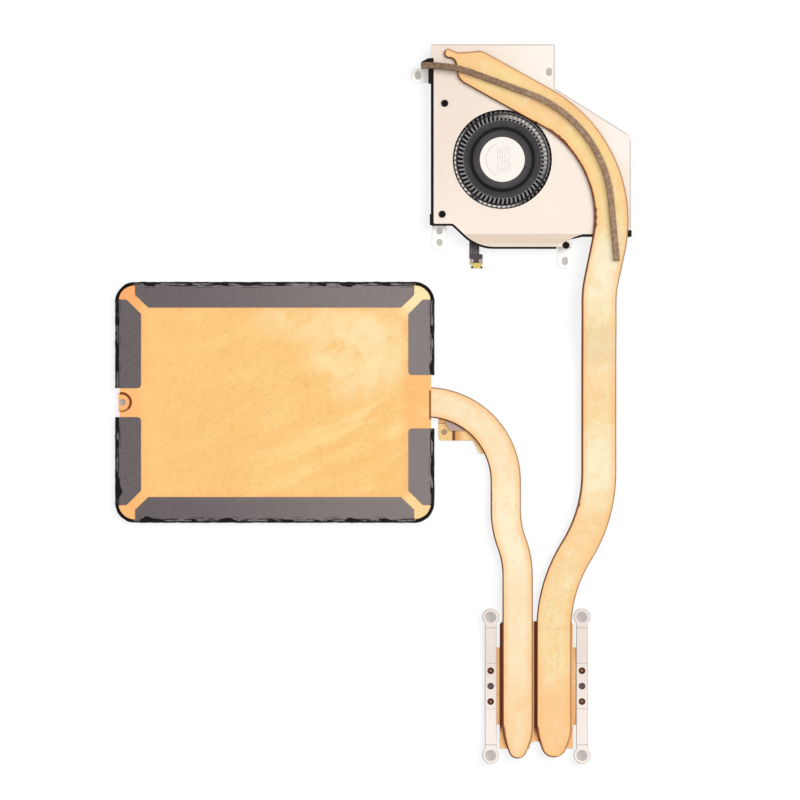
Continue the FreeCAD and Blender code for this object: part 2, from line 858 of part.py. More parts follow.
def bracket_pad(bracket, pipe):
    """The grey pad on the bracket beside the pipe, cut round the screw ear's hole."""
    outline = [
        (pad_left, pad_top, 0),
        (pad_left, pad_bottom + 2.2, 0.8),
        (pad_left + 1.6, pad_bottom, 0.8),
        (pad_right, pad_bottom, 0.5),
        (pad_right, pad_top, 0),
    ]
    pad = sheet(outline, bracket_thickness, left_pipe_low + pad_thickness)
    pad = pad.cut([bracket, pipe, grown_pipe_side()])
    return max(pad.Solids, key=lambda solid: solid.Volume)


def grown_pipe_side():
    """The space over the bracket that the bent pipe takes, seen from above."""
    centre_x = left_pipe_drop_x - left_pipe_bend_radius
    centre_y = spreader_y - left_pipe_bend_radius
    inner = left_pipe_bend_radius - left_pipe_width / 2
    ring = disc(centre_x, centre_y, 3 * inner, 0, left_pipe_low + pipe_thickness + 1)
    return ring.cut(disc(centre_x, centre_y, inner, 0, left_pipe_low + pipe_thickness + 1))


def cover_outline():
    """The cover's plan outline from the fan's axis."""
    return [
        (-cover_left, -cover_left_bottom, cover_corner),
        (-cover_curve_top_x, -cover_left_bottom, 1.0),
        (-cover_curve_corner_x, -cover_bottom, cover_curve_radius),
        (screw_pad_right, -cover_bottom, 0),
        (screw_pad_right, -screw_pad_top, 0),
        (cover_diagonal_right, -cover_right_bottom, 0.5),
        (cover_right, -cover_right_bottom, cover_corner),
        (cover_right, cover_shoulder_low, cover_shoulder_radius),
        (cover_upper_right, cover_shoulder_top, 0.6),
        (cover_upper_right, cover_top, cover_corner),
        (-cover_left - cover_tab, cover_top, cover_corner),
        (-cover_left - cover_tab, frame_lug_high + cover_gap, 0),
        (-cover_left, frame_lug_high + cover_gap, 0),
    ]


def ramp_wedge(drop, low, high):
    """The space between two heights, lowered along the ramp at the housing's bottom edge."""
    ramp_run = cover_bottom - ramp_top_y
    far = far_off
    points = [
        (-cover_bottom - ramp_run, low - 2 * drop), (-ramp_top_y, low), (far, low),
        (far, high), (-ramp_top_y, high), (-cover_bottom - ramp_run, high - 2 * drop),
    ]
    wire = Part.makePolygon([Vector(-far, y, z) for y, z in points + points[:1]])
    return Part.Face(wire).extrude(Vector(2 * far, 0, 0))


def fan_cover():
    """The steel cover with its inlet, its ramp along the bottom and its screw pad."""
    plan = sheet(cover_outline(), 0, fan_height + 1)
    layer = ramp_wedge(ramp_drop, cover_low, fan_height)
    pad = block(
        cover_diagonal_left, screw_pad_right, -cover_bottom, -screw_pad_top,
        cover_low - ramp_drop, fan_height - ramp_drop,
    )
    cover = plan.common(layer)
    over_pad = [
        (cover_diagonal_left, -cover_bottom, 0),
        (screw_pad_right + 1, -cover_bottom, 0),
        (screw_pad_right + 1, -screw_pad_top, 0),
        (cover_diagonal_left, -cover_bottom + 0.9, 0),
    ]
    cover = cover.cut(sheet(over_pad, 0, fan_height + 1)).fuse(pad)
    holes = [disc(0, 0, inlet_radius, 0, fan_height + 1)]
    holes.append(slot(*cover_slot, slot_width, cover_slot_length, 0, fan_height + 1))
    holes += [disc(x, y, screw_shank_radius, 0, fan_height + 1) for x, y in screw_places]
    holes.append(block(
        frame_end_left - cover_gap, frame_end_right, -cover_right_bottom - 1,
        cover_gap - frame_end_top, 0, fan_height + 1,
    ))
    return at_fan(cover.cut(holes))


def screw_seat(y):
    """The height of the cover's top at a screw."""
    return fan_height - ramp_drop if y < -ramp_top_y else fan_height


def cover_screws():
    """Three small black screws through the cover into the frame."""
    screws = []
    for x, y in screw_places:
        seat = screw_seat(y)
        head = disc(x, y, screw_head_radius, seat, seat + screw_head_thickness)
        shank = disc(x, y, screw_shank_radius, seat - screw_shank_length, seat)
        recess_low = seat + screw_head_thickness - screw_recess_depth
        long_half = screw_recess_length / 2
        short_half = screw_recess_width / 2
        cross = [
            block(x - a, x + a, y - b, y + b, recess_low, seat + 1)
            for a, b in ((long_half, short_half), (short_half, long_half))
        ]
        screws.append(head.fuse(shank).cut(cross))
    return at_fan(Part.makeCompound(screws))


def base_outline():
    """The base's plan outline, which ends a little outside the fins."""
    radius = fan_pipe_bend_radius + fin_outer + base_fin_margin
    centre = fan_pipe_way()[3]
    far = polar(1, fan_pipe_end_angle)
    edge = centre + polar(radius, fan_pipe_end_angle - 90)
    steps = (cover_top - edge.y) / far.y
    return centre, edge, edge + far * steps, radius


def fan_base_plate():
    """The steel base with its screw ears."""
    centre, edge, top, radius = base_outline()
    plain = sheet(cover_outline(), 0, base_thickness)
    inside = disc(centre.x, centre.y, radius, -1, base_thickness + 1)
    left_of = [
        (edge.x, edge.y, 0), (top.x, top.y, 0), (top.x, cover_top + 5, 0),
        (-cover_left - 5, cover_top + 5, 0), (-cover_left - 5, -cover_bottom - 5, 0),
        (centre.x, -cover_bottom - 5, 0), (centre.x, centre.y, 0),
    ]
    keep = inside.fuse(sheet(left_of, -1, base_thickness + 1))
    lower_right = block(0, cover_right, -cover_bottom, centre.y, -1, base_thickness + 1)
    plate = plain.common(keep.fuse(lower_right))
    ears = [
        block(-top_ear_left, -cover_left + 3, top_ear_low, top_ear_high, 0, base_thickness, ear_corner),
        block(-left_ear_left, -left_ear_right, -left_ear_low, -cover_left_bottom + 3, 0,
              base_thickness, ear_corner),
        block(right_ear_left, right_ear_right, -right_ear_low, -cover_bottom + 3, 0,
              base_thickness, ear_corner),
    ]
    low, high = -1, base_thickness + 1
    holes = [slot(*top_ear_slot, slot_width, ear_slot_length, low, high)]
    holes += [
        slot(left_ear_slot_x, y, slot_width, left_ear_slot_length, low, high) for y in left_ear_slots
    ]
    holes.append(slot(*right_ear_slot, slot_width, ear_slot_length, low, high))
    holes.append(disc(0, 0, sleeve_radius + holder_wall, low, high))
    return at_fan(plate.fuse(ears).cut(holes))


def frame_outline():
    """The outer outline of the black frame, which shows past the cover at left and bottom."""
    left = -cover_left - frame_left_lip
    bottom = -cover_bottom - frame_bottom_lip
    left_bottom = -cover_left_bottom - frame_bottom_lip
    thick = -cover_left - frame_thick_lip
    bump = left - frame_bump
    return [
        (left, frame_thick_low, 0.3), (left, -frame_bump_high, 0), (bump, -frame_bump_high, 0),
        (bump, -frame_bump_low, 0), (left, -frame_bump_low, 0), (left, left_bottom, 0.4),
        (-cover_curve_top_x - 0.3, left_bottom, 1.0),
        (-cover_curve_corner_x - 0.2, bottom, cover_curve_radius),
        (cover_diagonal_left, bottom, 0),
        (cover_diagonal_left, -cover_bottom, 0), (screw_pad_right, -cover_bottom, 0),
        (screw_pad_right, -screw_pad_top - 0.3, 0),
        (cover_diagonal_right, -cover_right_bottom - 0.8, 0.5),
        (cover_right + 0.3, -cover_right_bottom - 0.8, 0.2),
    ], thick


def fan_frame():
    """The moulded black frame: a volute wall at the left and bottom, and a bar at the right."""
    outline, thick = frame_outline()
    start = polar(volute_start_radius, volute_start_angle)
    left = polar(volute_left_radius, volute_left_angle)
    bottom = polar(volute_bottom_radius, -90)
    upper_mid = polar(
        (2 * volute_start_radius + volute_left_radius) / 3,
        (volute_start_angle + volute_left_angle) / 2,
    )
    lower_mid = polar(
        (volute_left_radius + volute_bottom_radius) / 2 - 0.3, (volute_left_angle + 270) / 2,
    )
    bar_top = -cover_right_bottom + frame_bar_height - 0.8
    outer_edges = rounded([(x, y, base_thickness, r) for x, y, r in outline], False)
    fin_corner = offset_line(fan_pipe_route(fin_straight_length), fin_inner)[-1]
    lift = Vector(0, 0, base_thickness)
    inner_chain = [
        Vector(cover_right + 0.3, bar_top, 0),
        Vector(cover_diagonal_right, bar_top, 0),
        Vector(cover_diagonal_left, -cover_bottom + frame_wall + 1.0, 0),
        Vector(cover_diagonal_left - 1, bottom.y, 0),
        bottom,
    ]
    upper_chain = [
        start,
        Vector(fin_corner[0] - 0.3, fin_corner[1] - 0.3, 0),
        Vector(fin_corner[0] - 0.6, fin_corner[1] + 1.6, 0),
        Vector(-cover_left, frame_lug_low + 1.3, 0),
        Vector(-cover_left, frame_lug_high, 0),
        Vector(-frame_lug_left + 2.2, frame_lug_high, 0),
        Vector(-frame_lug_left, frame_lug_high - 1.2, 0),
        Vector(-frame_lug_left, frame_lug_low, 0),
        Vector(thick, frame_lug_low - 0.3, 0),
        Vector(thick, frame_thick_low, 0),
        Vector(outline[0][0], frame_thick_low, 0),
    ]
    first = outer_edges[-1].Vertexes[-1].Point
    chain = [Vector(*first)] + [point + lift for point in inner_chain]
    edges = list(outer_edges)
    edges += [Part.LineSegment(a, b).toShape() for a, b in zip(chain, chain[1:])]
    edges.append(Part.Arc(bottom + lift, lower_mid + lift, left + lift).toShape())
    edges.append(Part.Arc(left + lift, upper_mid + lift, start + lift).toShape())
    chain = [point + lift for point in upper_chain]
    edges += [Part.LineSegment(a, b).toShape() for a, b in zip(chain, chain[1:])]
    wire = Part.Wire(Part.__sortEdges__(edges))
    frame = Part.Face(wire).extrude(Vector(0, 0, cover_low - base_thickness))
    boss_x, boss_y = screw_places[2]
    boss = disc(boss_x, boss_y, boss_radius, base_thickness, cover_low)
    boss = boss.common(block(0, screw_pad_right, -cover_bottom, 0, 0, fan_height))
    space = ramp_wedge(ramp_drop, base_thickness, cover_low)
    floor = block(-far_off, far_off, -far_off, far_off, base_thickness, cover_low)
    pad_space = block(
        cover_diagonal_left, screw_pad_right, -cover_bottom - 1, -screw_pad_top,
        cover_low - ramp_drop, fan_height,
    )
    end = block(
        frame_end_left, frame_end_right, -cover_right_bottom - frame_bottom_lip, -frame_end_top,
        base_thickness, fan_height,
    )
    frame = frame.fuse(boss).common(space.fuse(block(-far_off, far_off, -far_off, far_off, 0, 1)).common(floor))
    clear = flex_slot_clearance
    flex_way = block(
        flex_tail_left - clear, flex_tail_right + clear, flex_neck_y, -15,
        base_thickness, base_thickness + flex_thickness + clear,
    )
    holes = [
        disc(x, y, screw_shank_radius, screw_seat(y) - screw_shank_length, fan_height)
        for x, y in screw_places
    ]
    return at_fan(frame.fuse(end).cut([pad_space, flex_way] + holes))


def fin_stack():
    """The copper fins below the right pipe, joined by their folded strips above and below."""
    outline = strip(fan_pipe_route(fin_straight_length), fin_inner, fin_outer)
    whole = sheet(outline, base_thickness, cover_low)
    centre, bend_end = fan_pipe_way()[3:]
    start = polar(1, fin_start_angle)
    far = 80
    cutter = Part.Face(Part.makePolygon([
        centre, centre + start * far, centre + start * far - Vector(0, far, 0),
        centre - Vector(0, far, 0), centre,
    ])).extrude(Vector(0, 0, fan_height))
    whole = whole.cut(cutter)
    end_angle = fan_pipe_end_angle - 90
    arc_length = math.radians(end_angle - fin_start_angle) * fan_pipe_bend_radius
    way = polar(1, fan_pipe_end_angle)
    channels = []
    channel = fin_pitch - fin_thickness
    count = int((arc_length + fin_straight_length) / fin_pitch)
    for i in range(count):
        travel = (i + 0.5) * fin_pitch
        if travel < arc_length:
            angle = fin_start_angle + math.degrees(travel / fan_pipe_bend_radius)
            middle = centre + polar(fan_pipe_bend_radius, angle)
        else:
            angle = end_angle
            middle = bend_end + way * (travel - arc_length)
        gap = Part.makeBox(
            fin_inner + fin_outer + 4, channel, cover_low - base_thickness - 2 * fin_strip,
            Vector(-fin_inner - 2, -channel / 2, base_thickness + fin_strip),
        )
        gap.rotate(Vector(0, 0, 0), Vector(0, 0, 1), angle)
        gap.translate(middle)
        channels.append(gap)
    return at_fan(whole.cut(channels))


def impeller():
    """The moulded blower wheel: hub cap, groove, sloping annulus, blades and their ring."""
    inner = hub_radius - hub_wall
    profile = [
        (0, hub_top - hub_cap), (inner, hub_top - hub_cap), (inner, hub_low),
        (hub_radius, hub_low), (hub_radius, annulus_low), (annulus_radius, annulus_low),
        (annulus_radius, annulus_outer_top), (annulus_inner_radius, annulus_inner_top),
        (annulus_inner_radius, annulus_low + hub_web), (hub_radius, annulus_low + hub_web),
        (hub_radius, hub_top), (0, hub_top),
    ]
    hub = revolved(profile)
    ring_inner = rim_ring_radius - rim_ring_width / 2
    ring_outer = rim_ring_radius + rim_ring_width / 2
    ring_low = rim_ring_top - rim_ring_height
    ring = revolved([
        (ring_inner, ring_low), (ring_outer, ring_low),
        (ring_outer, rim_ring_top), (ring_inner, rim_ring_top),
    ])
    half = blade_thickness / 2
    root = polar(blade_inner_radius, 0, blade_low)
    tip = polar(blade_outer_radius, -blade_sweep, blade_low)
    middle = (root + tip) * 0.5 + Vector(0, blade_bow, 0)
    side = Vector(0, half, 0)
    edges = [
        Part.Arc(root + side, middle + side, tip + side).toShape(),
        Part.LineSegment(tip + side, tip - side).toShape(),
        Part.Arc(tip - side, middle - side, root - side).toShape(),
        Part.LineSegment(root - side, root + side).toShape(),
    ]
    blade = Part.Face(Part.Wire(edges)).extrude(Vector(0, 0, blade_top - blade_low))
    blades = []
    for i in range(blade_count):
        turned = blade.rotated(Vector(0, 0, 0), Vector(0, 0, 1), 360 * i / blade_count)
        blades.append(turned)
    wheel = hub.multiFuse([ring] + blades)
    dimples = []
    for angle in dimple_angles:
        place = polar(dimple_place, angle)
        dimples.append(disc(place.x, place.y, dimple_radius, hub_top - dimple_depth, hub_top + 1))
    return at_fan(wheel.cut(dimples))


def rotor_cup():
    """The steel cup inside the hub, with the boss that holds the shaft."""
    outer = hub_radius - hub_wall
    top = hub_top - hub_cap
    under = top - rotor_cup_thickness
    boss_low = under - rotor_boss_height
    profile = [
        (shaft_radius, boss_low), (rotor_boss_radius, boss_low), (rotor_boss_radius, under),
        (outer - rotor_cup_wall, under), (outer - rotor_cup_wall, hub_low), (outer, hub_low),
        (outer, top), (shaft_radius, top),
    ]
    return at_fan(revolved(profile))


def magnet_outer():
    """The outer radius of the ring magnet."""
    return hub_radius - hub_wall - rotor_cup_wall


def magnet_ring():
    """The ring magnet inside the rotor cup."""
    outer = magnet_outer()
    top = magnet_low + magnet_height
    ring = [
        (outer - magnet_thickness, magnet_low), (outer, magnet_low),
        (outer, top), (outer - magnet_thickness, top),
    ]
    return at_fan(revolved(ring))


def shaft():
    """The steel shaft, fixed in the rotor cup and turning in the sleeve."""
    low = holder_floor + washer_thickness + shaft_seat_gap
    return at_fan(disc(0, 0, shaft_radius, low, hub_top - hub_cap))


def hub_label():
    """The round label on the hub."""
    return at_fan(disc(0, 0, label_radius, hub_top, hub_top + label_thickness))


def bearing_holder():
    """The brass cup staked into the base, which holds the sleeve and the stator."""
    outer = sleeve_radius + holder_wall
    flange_top = base_thickness + holder_flange
    profile = [
        (0, 0), (outer, 0), (outer, base_thickness), (holder_flange_radius, base_thickness),
        (holder_flange_radius, flange_top), (outer, flange_top), (outer, sleeve_top),
        (sleeve_radius, sleeve_top), (sleeve_radius, holder_floor), (0, holder_floor),
    ]
    return at_fan(revolved(profile))


def bearing_sleeve():
    """The porous bronze sleeve that the shaft turns in."""
    inner = shaft_radius + shaft_clearance
    profile = [
        (inner, sleeve_low), (sleeve_radius, sleeve_low),
        (sleeve_radius, sleeve_top), (inner, sleeve_top),
    ]
    return at_fan(revolved(profile))


def thrust_washer():
    """The plastic disc below the shaft's end."""
    return at_fan(disc(0, 0, sleeve_radius, holder_floor, holder_floor + washer_thickness))


def stator_core():
    """The laminated stator: a hub with six teeth and their curved shoes."""
    bore = sleeve_radius + holder_wall
    hub = bore + stator_hub_wall
    tip = magnet_outer() - magnet_thickness - air_gap
    high = stator_low + stator_height
    body = disc(0, 0, hub, stator_low, high)
    teeth = []
    for i in range(tooth_count):
        tooth = block(0, tip - tooth_shoe / 2, -tooth_width / 2, tooth_width / 2, stator_low, high)
        teeth.append(tooth.rotated(Vector(0, 0, 0), Vector(0, 0, 1), 360 * i / tooth_count))
    shoes = disc(0, 0, tip, stator_low, high).cut(disc(0, 0, tip - tooth_shoe, 0, high + 1))
    slots = []
    for i in range(tooth_count):
        opening = block(hub, tip + 1, -0.5, 0.5, 0, high + 1)
        angle = 360 * (i + 0.5) / tooth_count
        slots.append(opening.rotated(Vector(0, 0, 0), Vector(0, 0, 1), angle))
    core = body.fuse(teeth + [shoes]).cut(slots + [disc(0, 0, bore, 0, high + 1)])
    return at_fan(core)


def stator_coils(core):
    """Six copper windings, one round each tooth."""
    hub = sleeve_radius + holder_wall + stator_hub_wall
    tip = magnet_outer() - magnet_thickness - air_gap - tooth_shoe
    middle = stator_low + stator_height / 2
    length = min(coil_length, tip - hub - 2 * coil_gap)
    start = (hub + tip - length) / 2
    coils = []
    for i in range(tooth_count):
        coil = block(
            start, start + length, -coil_width / 2, coil_width / 2,
            middle - coil_height / 2, middle + coil_height / 2,
        )
        wedge_edges = [edge for edge in coil.Edges if edge.BoundBox.XLength > length / 2]
        coil = coil.makeFillet(0.4, wedge_edges)
        coils.append(coil.rotated(Vector(0, 0, 0), Vector(0, 0, 1), 360 * i / tooth_count))
    narrow = [at_fan(coil).cut(core) for coil in coils]
    return Part.makeCompound(narrow)


def flex_circuit():
    """The motor's flexible circuit, with the tail and head that leave the housing."""
    low = base_thickness
    high = low + flex_thickness
    ring = disc(0, 0, flex_disc_radius, low, high).cut(disc(0, 0, holder_flange_radius, 0, 1))
    tail_outline = [
        (flex_tail_left, flex_head_low + 2, 0), (flex_tail_right, flex_head_low + 2, 0),
        (flex_tail_right, -12, 3.0), (-1.5, -holder_flange_radius - 1, 0),
        (-5.5, -holder_flange_radius, 0), (flex_tail_left, -12, 3.0),
    ]
    tail = sheet(tail_outline, low, high)
    head_outline = [
        (flex_head_left, flex_neck_y, 0.3),
        (flex_head_left, flex_head_low, 0), (flex_tip_left - 0.2, flex_head_low - 0.4, 0),
        (flex_tip_left, flex_tip_low, 0), (flex_tip_right, flex_tip_low, 0),
        (flex_tip_right + 0.2, flex_head_low - 0.4, 0), (flex_head_right, flex_head_low, 0),
        (flex_head_right, flex_neck_y, 0.3),
    ]
    head = sheet(head_outline, low, high)
    holes = [
        disc(x, flex_hole_y, flex_hole_radius, 0, 1)
        for x in (flex_head_left + flex_hole_inset, flex_head_right - flex_hole_inset)
    ]
    return at_fan(ring.fuse([tail, head]).cut(holes))


def flex_stiffener():
    """The stiff black backing below the circuit's head, with two small feet."""
    high = base_thickness
    low = high - stiffener_thickness
    left = flex_head_left + 0.4
    right = flex_head_right - 0.4
    body = block(left, right, flex_head_low - 0.3, flex_neck_y - 0.3, low, high)
    foot_low = flex_tip_low
    foot_high = foot_low + stiffener_foot_height
    feet = block(
        flex_tip_left - stiffener_foot, flex_tip_right + stiffener_foot,
        foot_low, foot_high, low, high, 0.2,
    )
    neck = block(flex_tip_left, flex_tip_right, foot_low, flex_head_low, low, high)
    return at_fan(body.fuse([feet, neck]))


def flex_contacts():
    """The gold contact fingers at the circuit's tip."""
    low = base_thickness + flex_thickness
    pitch = (flex_tip_right - flex_tip_left) / finger_count
    fingers = []
    for i in range(finger_count):
        x = flex_tip_left + (i + 0.5) * pitch
        fingers.append(block(
            x - finger_width / 2, x + finger_width / 2,
            flex_tip_low, flex_tip_low + finger_length, low, low + finger_thickness,
        ))
    return at_fan(Part.makeCompound(fingers))


def foam_strip(pipe):
    """The brown foam strip that lies over the cover's edge and along the pipe."""
    route = [
        (*foam_start, 0), (*foam_turn, foam_turn_radius),
        (*foam_bend, foam_bend_radius), (*foam_end, 0),
    ]
    outline = strip(route, foam_width / 2, foam_width / 2)
    return at_fan(sheet(outline, fan_height, foam_top)).cut(pipe)


pieces = {}
pieces["contact_pedestal"] = contact_pedestal()
pieces["mounting_plate"] = mounting_plate()
pieces["cold_plate"] = cold_plate()
pieces["spring_arm_left"] = spring_arm(-1)
pieces["spring_arm_right"] = spring_arm(1)
pieces["arm_rivets"] = arm_rivets()
pieces["heat_pipe_left"] = heat_pipe_left()
pieces["heat_pipe_right"] = heat_pipe_right()
pieces["spreader_plate"] = spreader_plate()
pieces["edge_film_upper"], pieces["edge_film_lower"] = edge_film()
pieces["pipe_bracket"] = pipe_bracket()
pieces["bracket_pad"] = bracket_pad(pieces["pipe_bracket"], pieces["heat_pipe_left"])
pieces["fan_base_plate"] = fan_base_plate()
pieces["fan_frame"] = fan_frame()
pieces["fan_cover"] = fan_cover()
pieces["cover_screws"] = cover_screws()
pieces["fin_stack"] = fin_stack()
pieces["impeller"] = impeller()
pieces["rotor_cup"] = rotor_cup()
pieces["magnet_ring"] = magnet_ring()
pieces["shaft"] = shaft()
pieces["hub_label"] = hub_label()
pieces["bearing_holder"] = bearing_holder()
pieces["bearing_sleeve"] = bearing_sleeve()
pieces["thrust_washer"] = thrust_washer()
pieces["stator_core"] = stator_core()
pieces["stator_coils"] = stator_coils(pieces["stator_core"])
pieces["flex_circuit"] = flex_circuit()
pieces["flex_stiffener"] = flex_stiffener()
pieces["flex_contacts"] = flex_contacts()
pieces["foam_strip"] = foam_strip(pieces["heat_pipe_right"])

os.makedirs("parts", exist_ok=True)
for name, shape in pieces.items():
    shape.exportStep("parts/" + name + ".step")
    print(name, shape.isValid(), len(shape.Solids), round(shape.Volume, 2))
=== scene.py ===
import json
import math

import bpy
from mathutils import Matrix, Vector
from mathutils.kdtree import KDTree


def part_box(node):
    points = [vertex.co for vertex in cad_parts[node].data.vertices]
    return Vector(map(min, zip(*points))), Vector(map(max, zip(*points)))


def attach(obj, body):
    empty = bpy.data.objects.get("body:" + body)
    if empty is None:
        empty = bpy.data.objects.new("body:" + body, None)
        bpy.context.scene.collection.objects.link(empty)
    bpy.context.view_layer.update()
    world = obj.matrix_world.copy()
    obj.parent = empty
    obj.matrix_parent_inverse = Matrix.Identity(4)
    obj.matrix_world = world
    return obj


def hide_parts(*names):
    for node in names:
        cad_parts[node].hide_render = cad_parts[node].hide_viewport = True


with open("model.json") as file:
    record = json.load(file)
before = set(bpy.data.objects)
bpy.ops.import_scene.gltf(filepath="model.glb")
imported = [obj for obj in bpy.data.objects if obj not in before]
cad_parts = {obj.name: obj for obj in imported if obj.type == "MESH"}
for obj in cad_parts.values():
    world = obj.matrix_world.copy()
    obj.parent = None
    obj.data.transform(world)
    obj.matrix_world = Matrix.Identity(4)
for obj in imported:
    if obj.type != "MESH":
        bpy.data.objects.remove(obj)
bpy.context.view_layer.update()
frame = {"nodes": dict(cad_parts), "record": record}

scene = bpy.context.scene
scene.view_settings.view_transform = "Standard"
MM = 0.001

# Places in plan, in millimetres: the fan's axis, and the springs' holes and rivets from the origin
fan = Vector((-11.1, 171.2, 0))
arm_across = 14.85
eye_along = 22.5
rivet_along = 5.0

# The spreader's film, in millimetres: outer box, corner and edge radius
film_low, film_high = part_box("edge_film_upper")
film_below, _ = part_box("edge_film_lower")
film_centre = Vector(((film_low.x + film_high.x) / 2, (film_below.y + film_high.y) / 2, 0)) / MM
film_half = Vector(((film_high.x - film_low.x) / 2, (film_high.y - film_below.y) / 2, 0)) / MM
film_top = film_high.z / MM
film_corner = 6.45
film_edge = 1.15

# The light: strengths, the lamp's width, direction and lean in degrees, and the way from it in plan
fill_light = 0.45
lamp_light = 2.35
lamp_width = 34
lamp_direction = 30
lamp_lean = 40
away_from_lamp = Vector((-0.87, -0.5, 0))

# The table: its grey in the camera's eyes and to all other light, and its glow in the camera's eyes
table_seen = 0.18
table_lit = 0.85
table_glow = 0.83

# The camera, in metres: its height over the spreader's top, the picture's width there and its middle
camera_height = 2.0
spreader_top = 0.0024
picture_width = 0.26
picture_middle = (-0.04433, 0.09305)


def shade(red, green, blue):
    """A colour as it looks on a screen, 0 to 255, turned into the light that a shader takes."""
    parts = []
    for part in (red, green, blue):
        part /= 255
        parts.append(part / 12.92 if part <= 0.04045 else ((part + 0.055) / 1.055) ** 2.4)
    return (*parts, 1)


def grey(level):
    """An even grey, as a part of white's light."""
    return (level, level, level, 1)


class Value:
    """One output of a finish's nodes, so that shader maths reads as plain expressions."""

    def __init__(self, finish, socket):
        self.finish = finish
        self.socket = socket

    def math(self, operation, *others):
        """One step of maths on this value, by the name that Blender gives it."""
        return self.finish.node("ShaderNodeMath", {"operation": operation}, [self, *others])

    def __add__(self, other):
        return self.math("ADD", other)

    def __sub__(self, other):
        return self.math("SUBTRACT", other)

    def __rsub__(self, other):
        return self.finish.node("ShaderNodeMath", {"operation": "SUBTRACT"}, [other, self])

    def __mul__(self, other):
        return self.math("MULTIPLY", other)

    def __truediv__(self, other):
        return self.math("DIVIDE", other)

    def __pow__(self, other):
        return self.math("POWER", other)

    def __abs__(self):
        return self.math("ABSOLUTE")

    __radd__ = __add__
    __rmul__ = __mul__

    def above(self, other):
        """The larger of two values."""
        return self.math("MAXIMUM", other)

    def below(self, other):
        """The smaller of two values."""
        return self.math("MINIMUM", other)

    def step(self, low, high):
        """Nothing below one value, all above the other, and a soft rise between them."""
        settings = {"interpolation_type": "SMOOTHSTEP"}
        values = {"Value": self, "From Min": low, "From Max": high}
        return self.finish.node("ShaderNodeMapRange", settings, values)

    def band(self, middle, half, soft):
        """All near one value and nothing further from it."""
        return 1 - abs(self - middle).step(half, half + soft)

    def reach(self, other):
        """The straight distance to what lies so far across and the other value up."""
        return (self * self + other * other) ** 0.5


class Finish:
    """A procedural material: its Principled shader and the nodes that feed it."""

    def __init__(self, name, metallic=0.0, roughness=0.5, **constants):
        self.material = bpy.data.materials.new(name)
        self.material.use_nodes = True
        self.tree = self.material.node_tree
        self.shader = self.tree.nodes["Principled BSDF"]
        self.feed("Metallic", metallic)
        self.feed("Roughness", roughness)
        for socket, value in constants.items():
            self.feed(socket.replace("_", " "), value)
        coordinates = self.tree.nodes.new("ShaderNodeTexCoord")
        self.object = Value(self, coordinates.outputs["Object"])
        self.x, self.y, self.z = (self.part(self.object, i) * (1 / MM) for i in range(3))
        normal = Value(self, coordinates.outputs["Normal"])
        self.side_x, self.side_y, self.up = (self.part(normal, i) for i in range(3))

    def node(self, kind, settings=None, values=(), output=0):
        """A node of a kind, with its settings first and then its sockets' values or links."""
        made = self.tree.nodes.new(kind)
        for key, value in (settings or {}).items():
            setattr(made, key, value)
        for key, value in (values.items() if isinstance(values, dict) else enumerate(values)):
            self.put(made.inputs[key], value)
        return Value(self, made.outputs[output])

    def put(self, socket, value):
        """Links a value to a socket, or sets a plain number or colour there."""
        if isinstance(value, Value):
            self.tree.links.new(value.socket, socket)
        else:
            socket.default_value = value

    def feed(self, socket, value):
        """Gives one of the shader's sockets its value."""
        self.put(self.shader.inputs[socket], value)

    def part(self, vector, index):
        """One of a vector's three parts."""
        return self.node("ShaderNodeSeparateXYZ", None, [vector], index)

    def joined(self, x, y, z=0.0):
        """A vector of three parts."""
        return self.node("ShaderNodeCombineXYZ", None, [x, y, z])

    def stretched(self, scale, turn=0.0):
        """The piece's own coordinates, turned by degrees in plan and then scaled."""
        turned = self.node(
            "ShaderNodeMapping", {"vector_type": "POINT"},
            {"Vector": self.object, "Rotation": (0, 0, math.radians(turn))},
        )
        return self.node("ShaderNodeVectorMath", {"operation": "MULTIPLY"}, [turned, scale])

    def noise(self, size, detail=2.0, rough=0.5, at=None, distortion=0.0):
        """Soft noise, whose features measure about the given millimetres."""
        values = {
            "Vector": at or self.object, "Scale": 1 / (size * MM) if at is None else 1 / size,
            "Detail": detail, "Roughness": rough, "Distortion": distortion,
        }
        return self.node("ShaderNodeTexNoise", None, values)

    def mix(self, amount, under, over):
        """One colour laid over another by an amount."""
        made = self.tree.nodes.new("ShaderNodeMix")
        made.data_type = "RGBA"
        self.put(made.inputs[0], amount)
        self.put(made.inputs[6], under)
        self.put(made.inputs[7], over)
        return Value(self, made.outputs[2])

    def spot(self, x, y, wide, high):
        """A soft oval in plan, in millimetres."""
        across = (self.x - x) / wide
        along = (self.y - y) / high
        return 1 - (across * across + along * along).step(0.0, 1.0)

    def spots(self, *places):
        """Several soft ovals, each with its strength last, and the strongest wherever they meet."""
        strongest, *others = [self.spot(*place) * strength for *place, strength in places]
        for spot in others:
            strongest = strongest.above(spot)
        return strongest

    def from_fan(self):
        """How far across, up and outwards from the fan's axis, in millimetres."""
        across, up = self.x - fan.x, self.y - fan.y
        return across, up, across.reach(up)

    def bump(self, height, depth, strength=1.0):
        """Relief of a depth in millimetres."""
        values = {"Strength": strength, "Distance": depth * MM, "Height": height}
        self.feed("Normal", self.node("ShaderNodeBump", None, values))


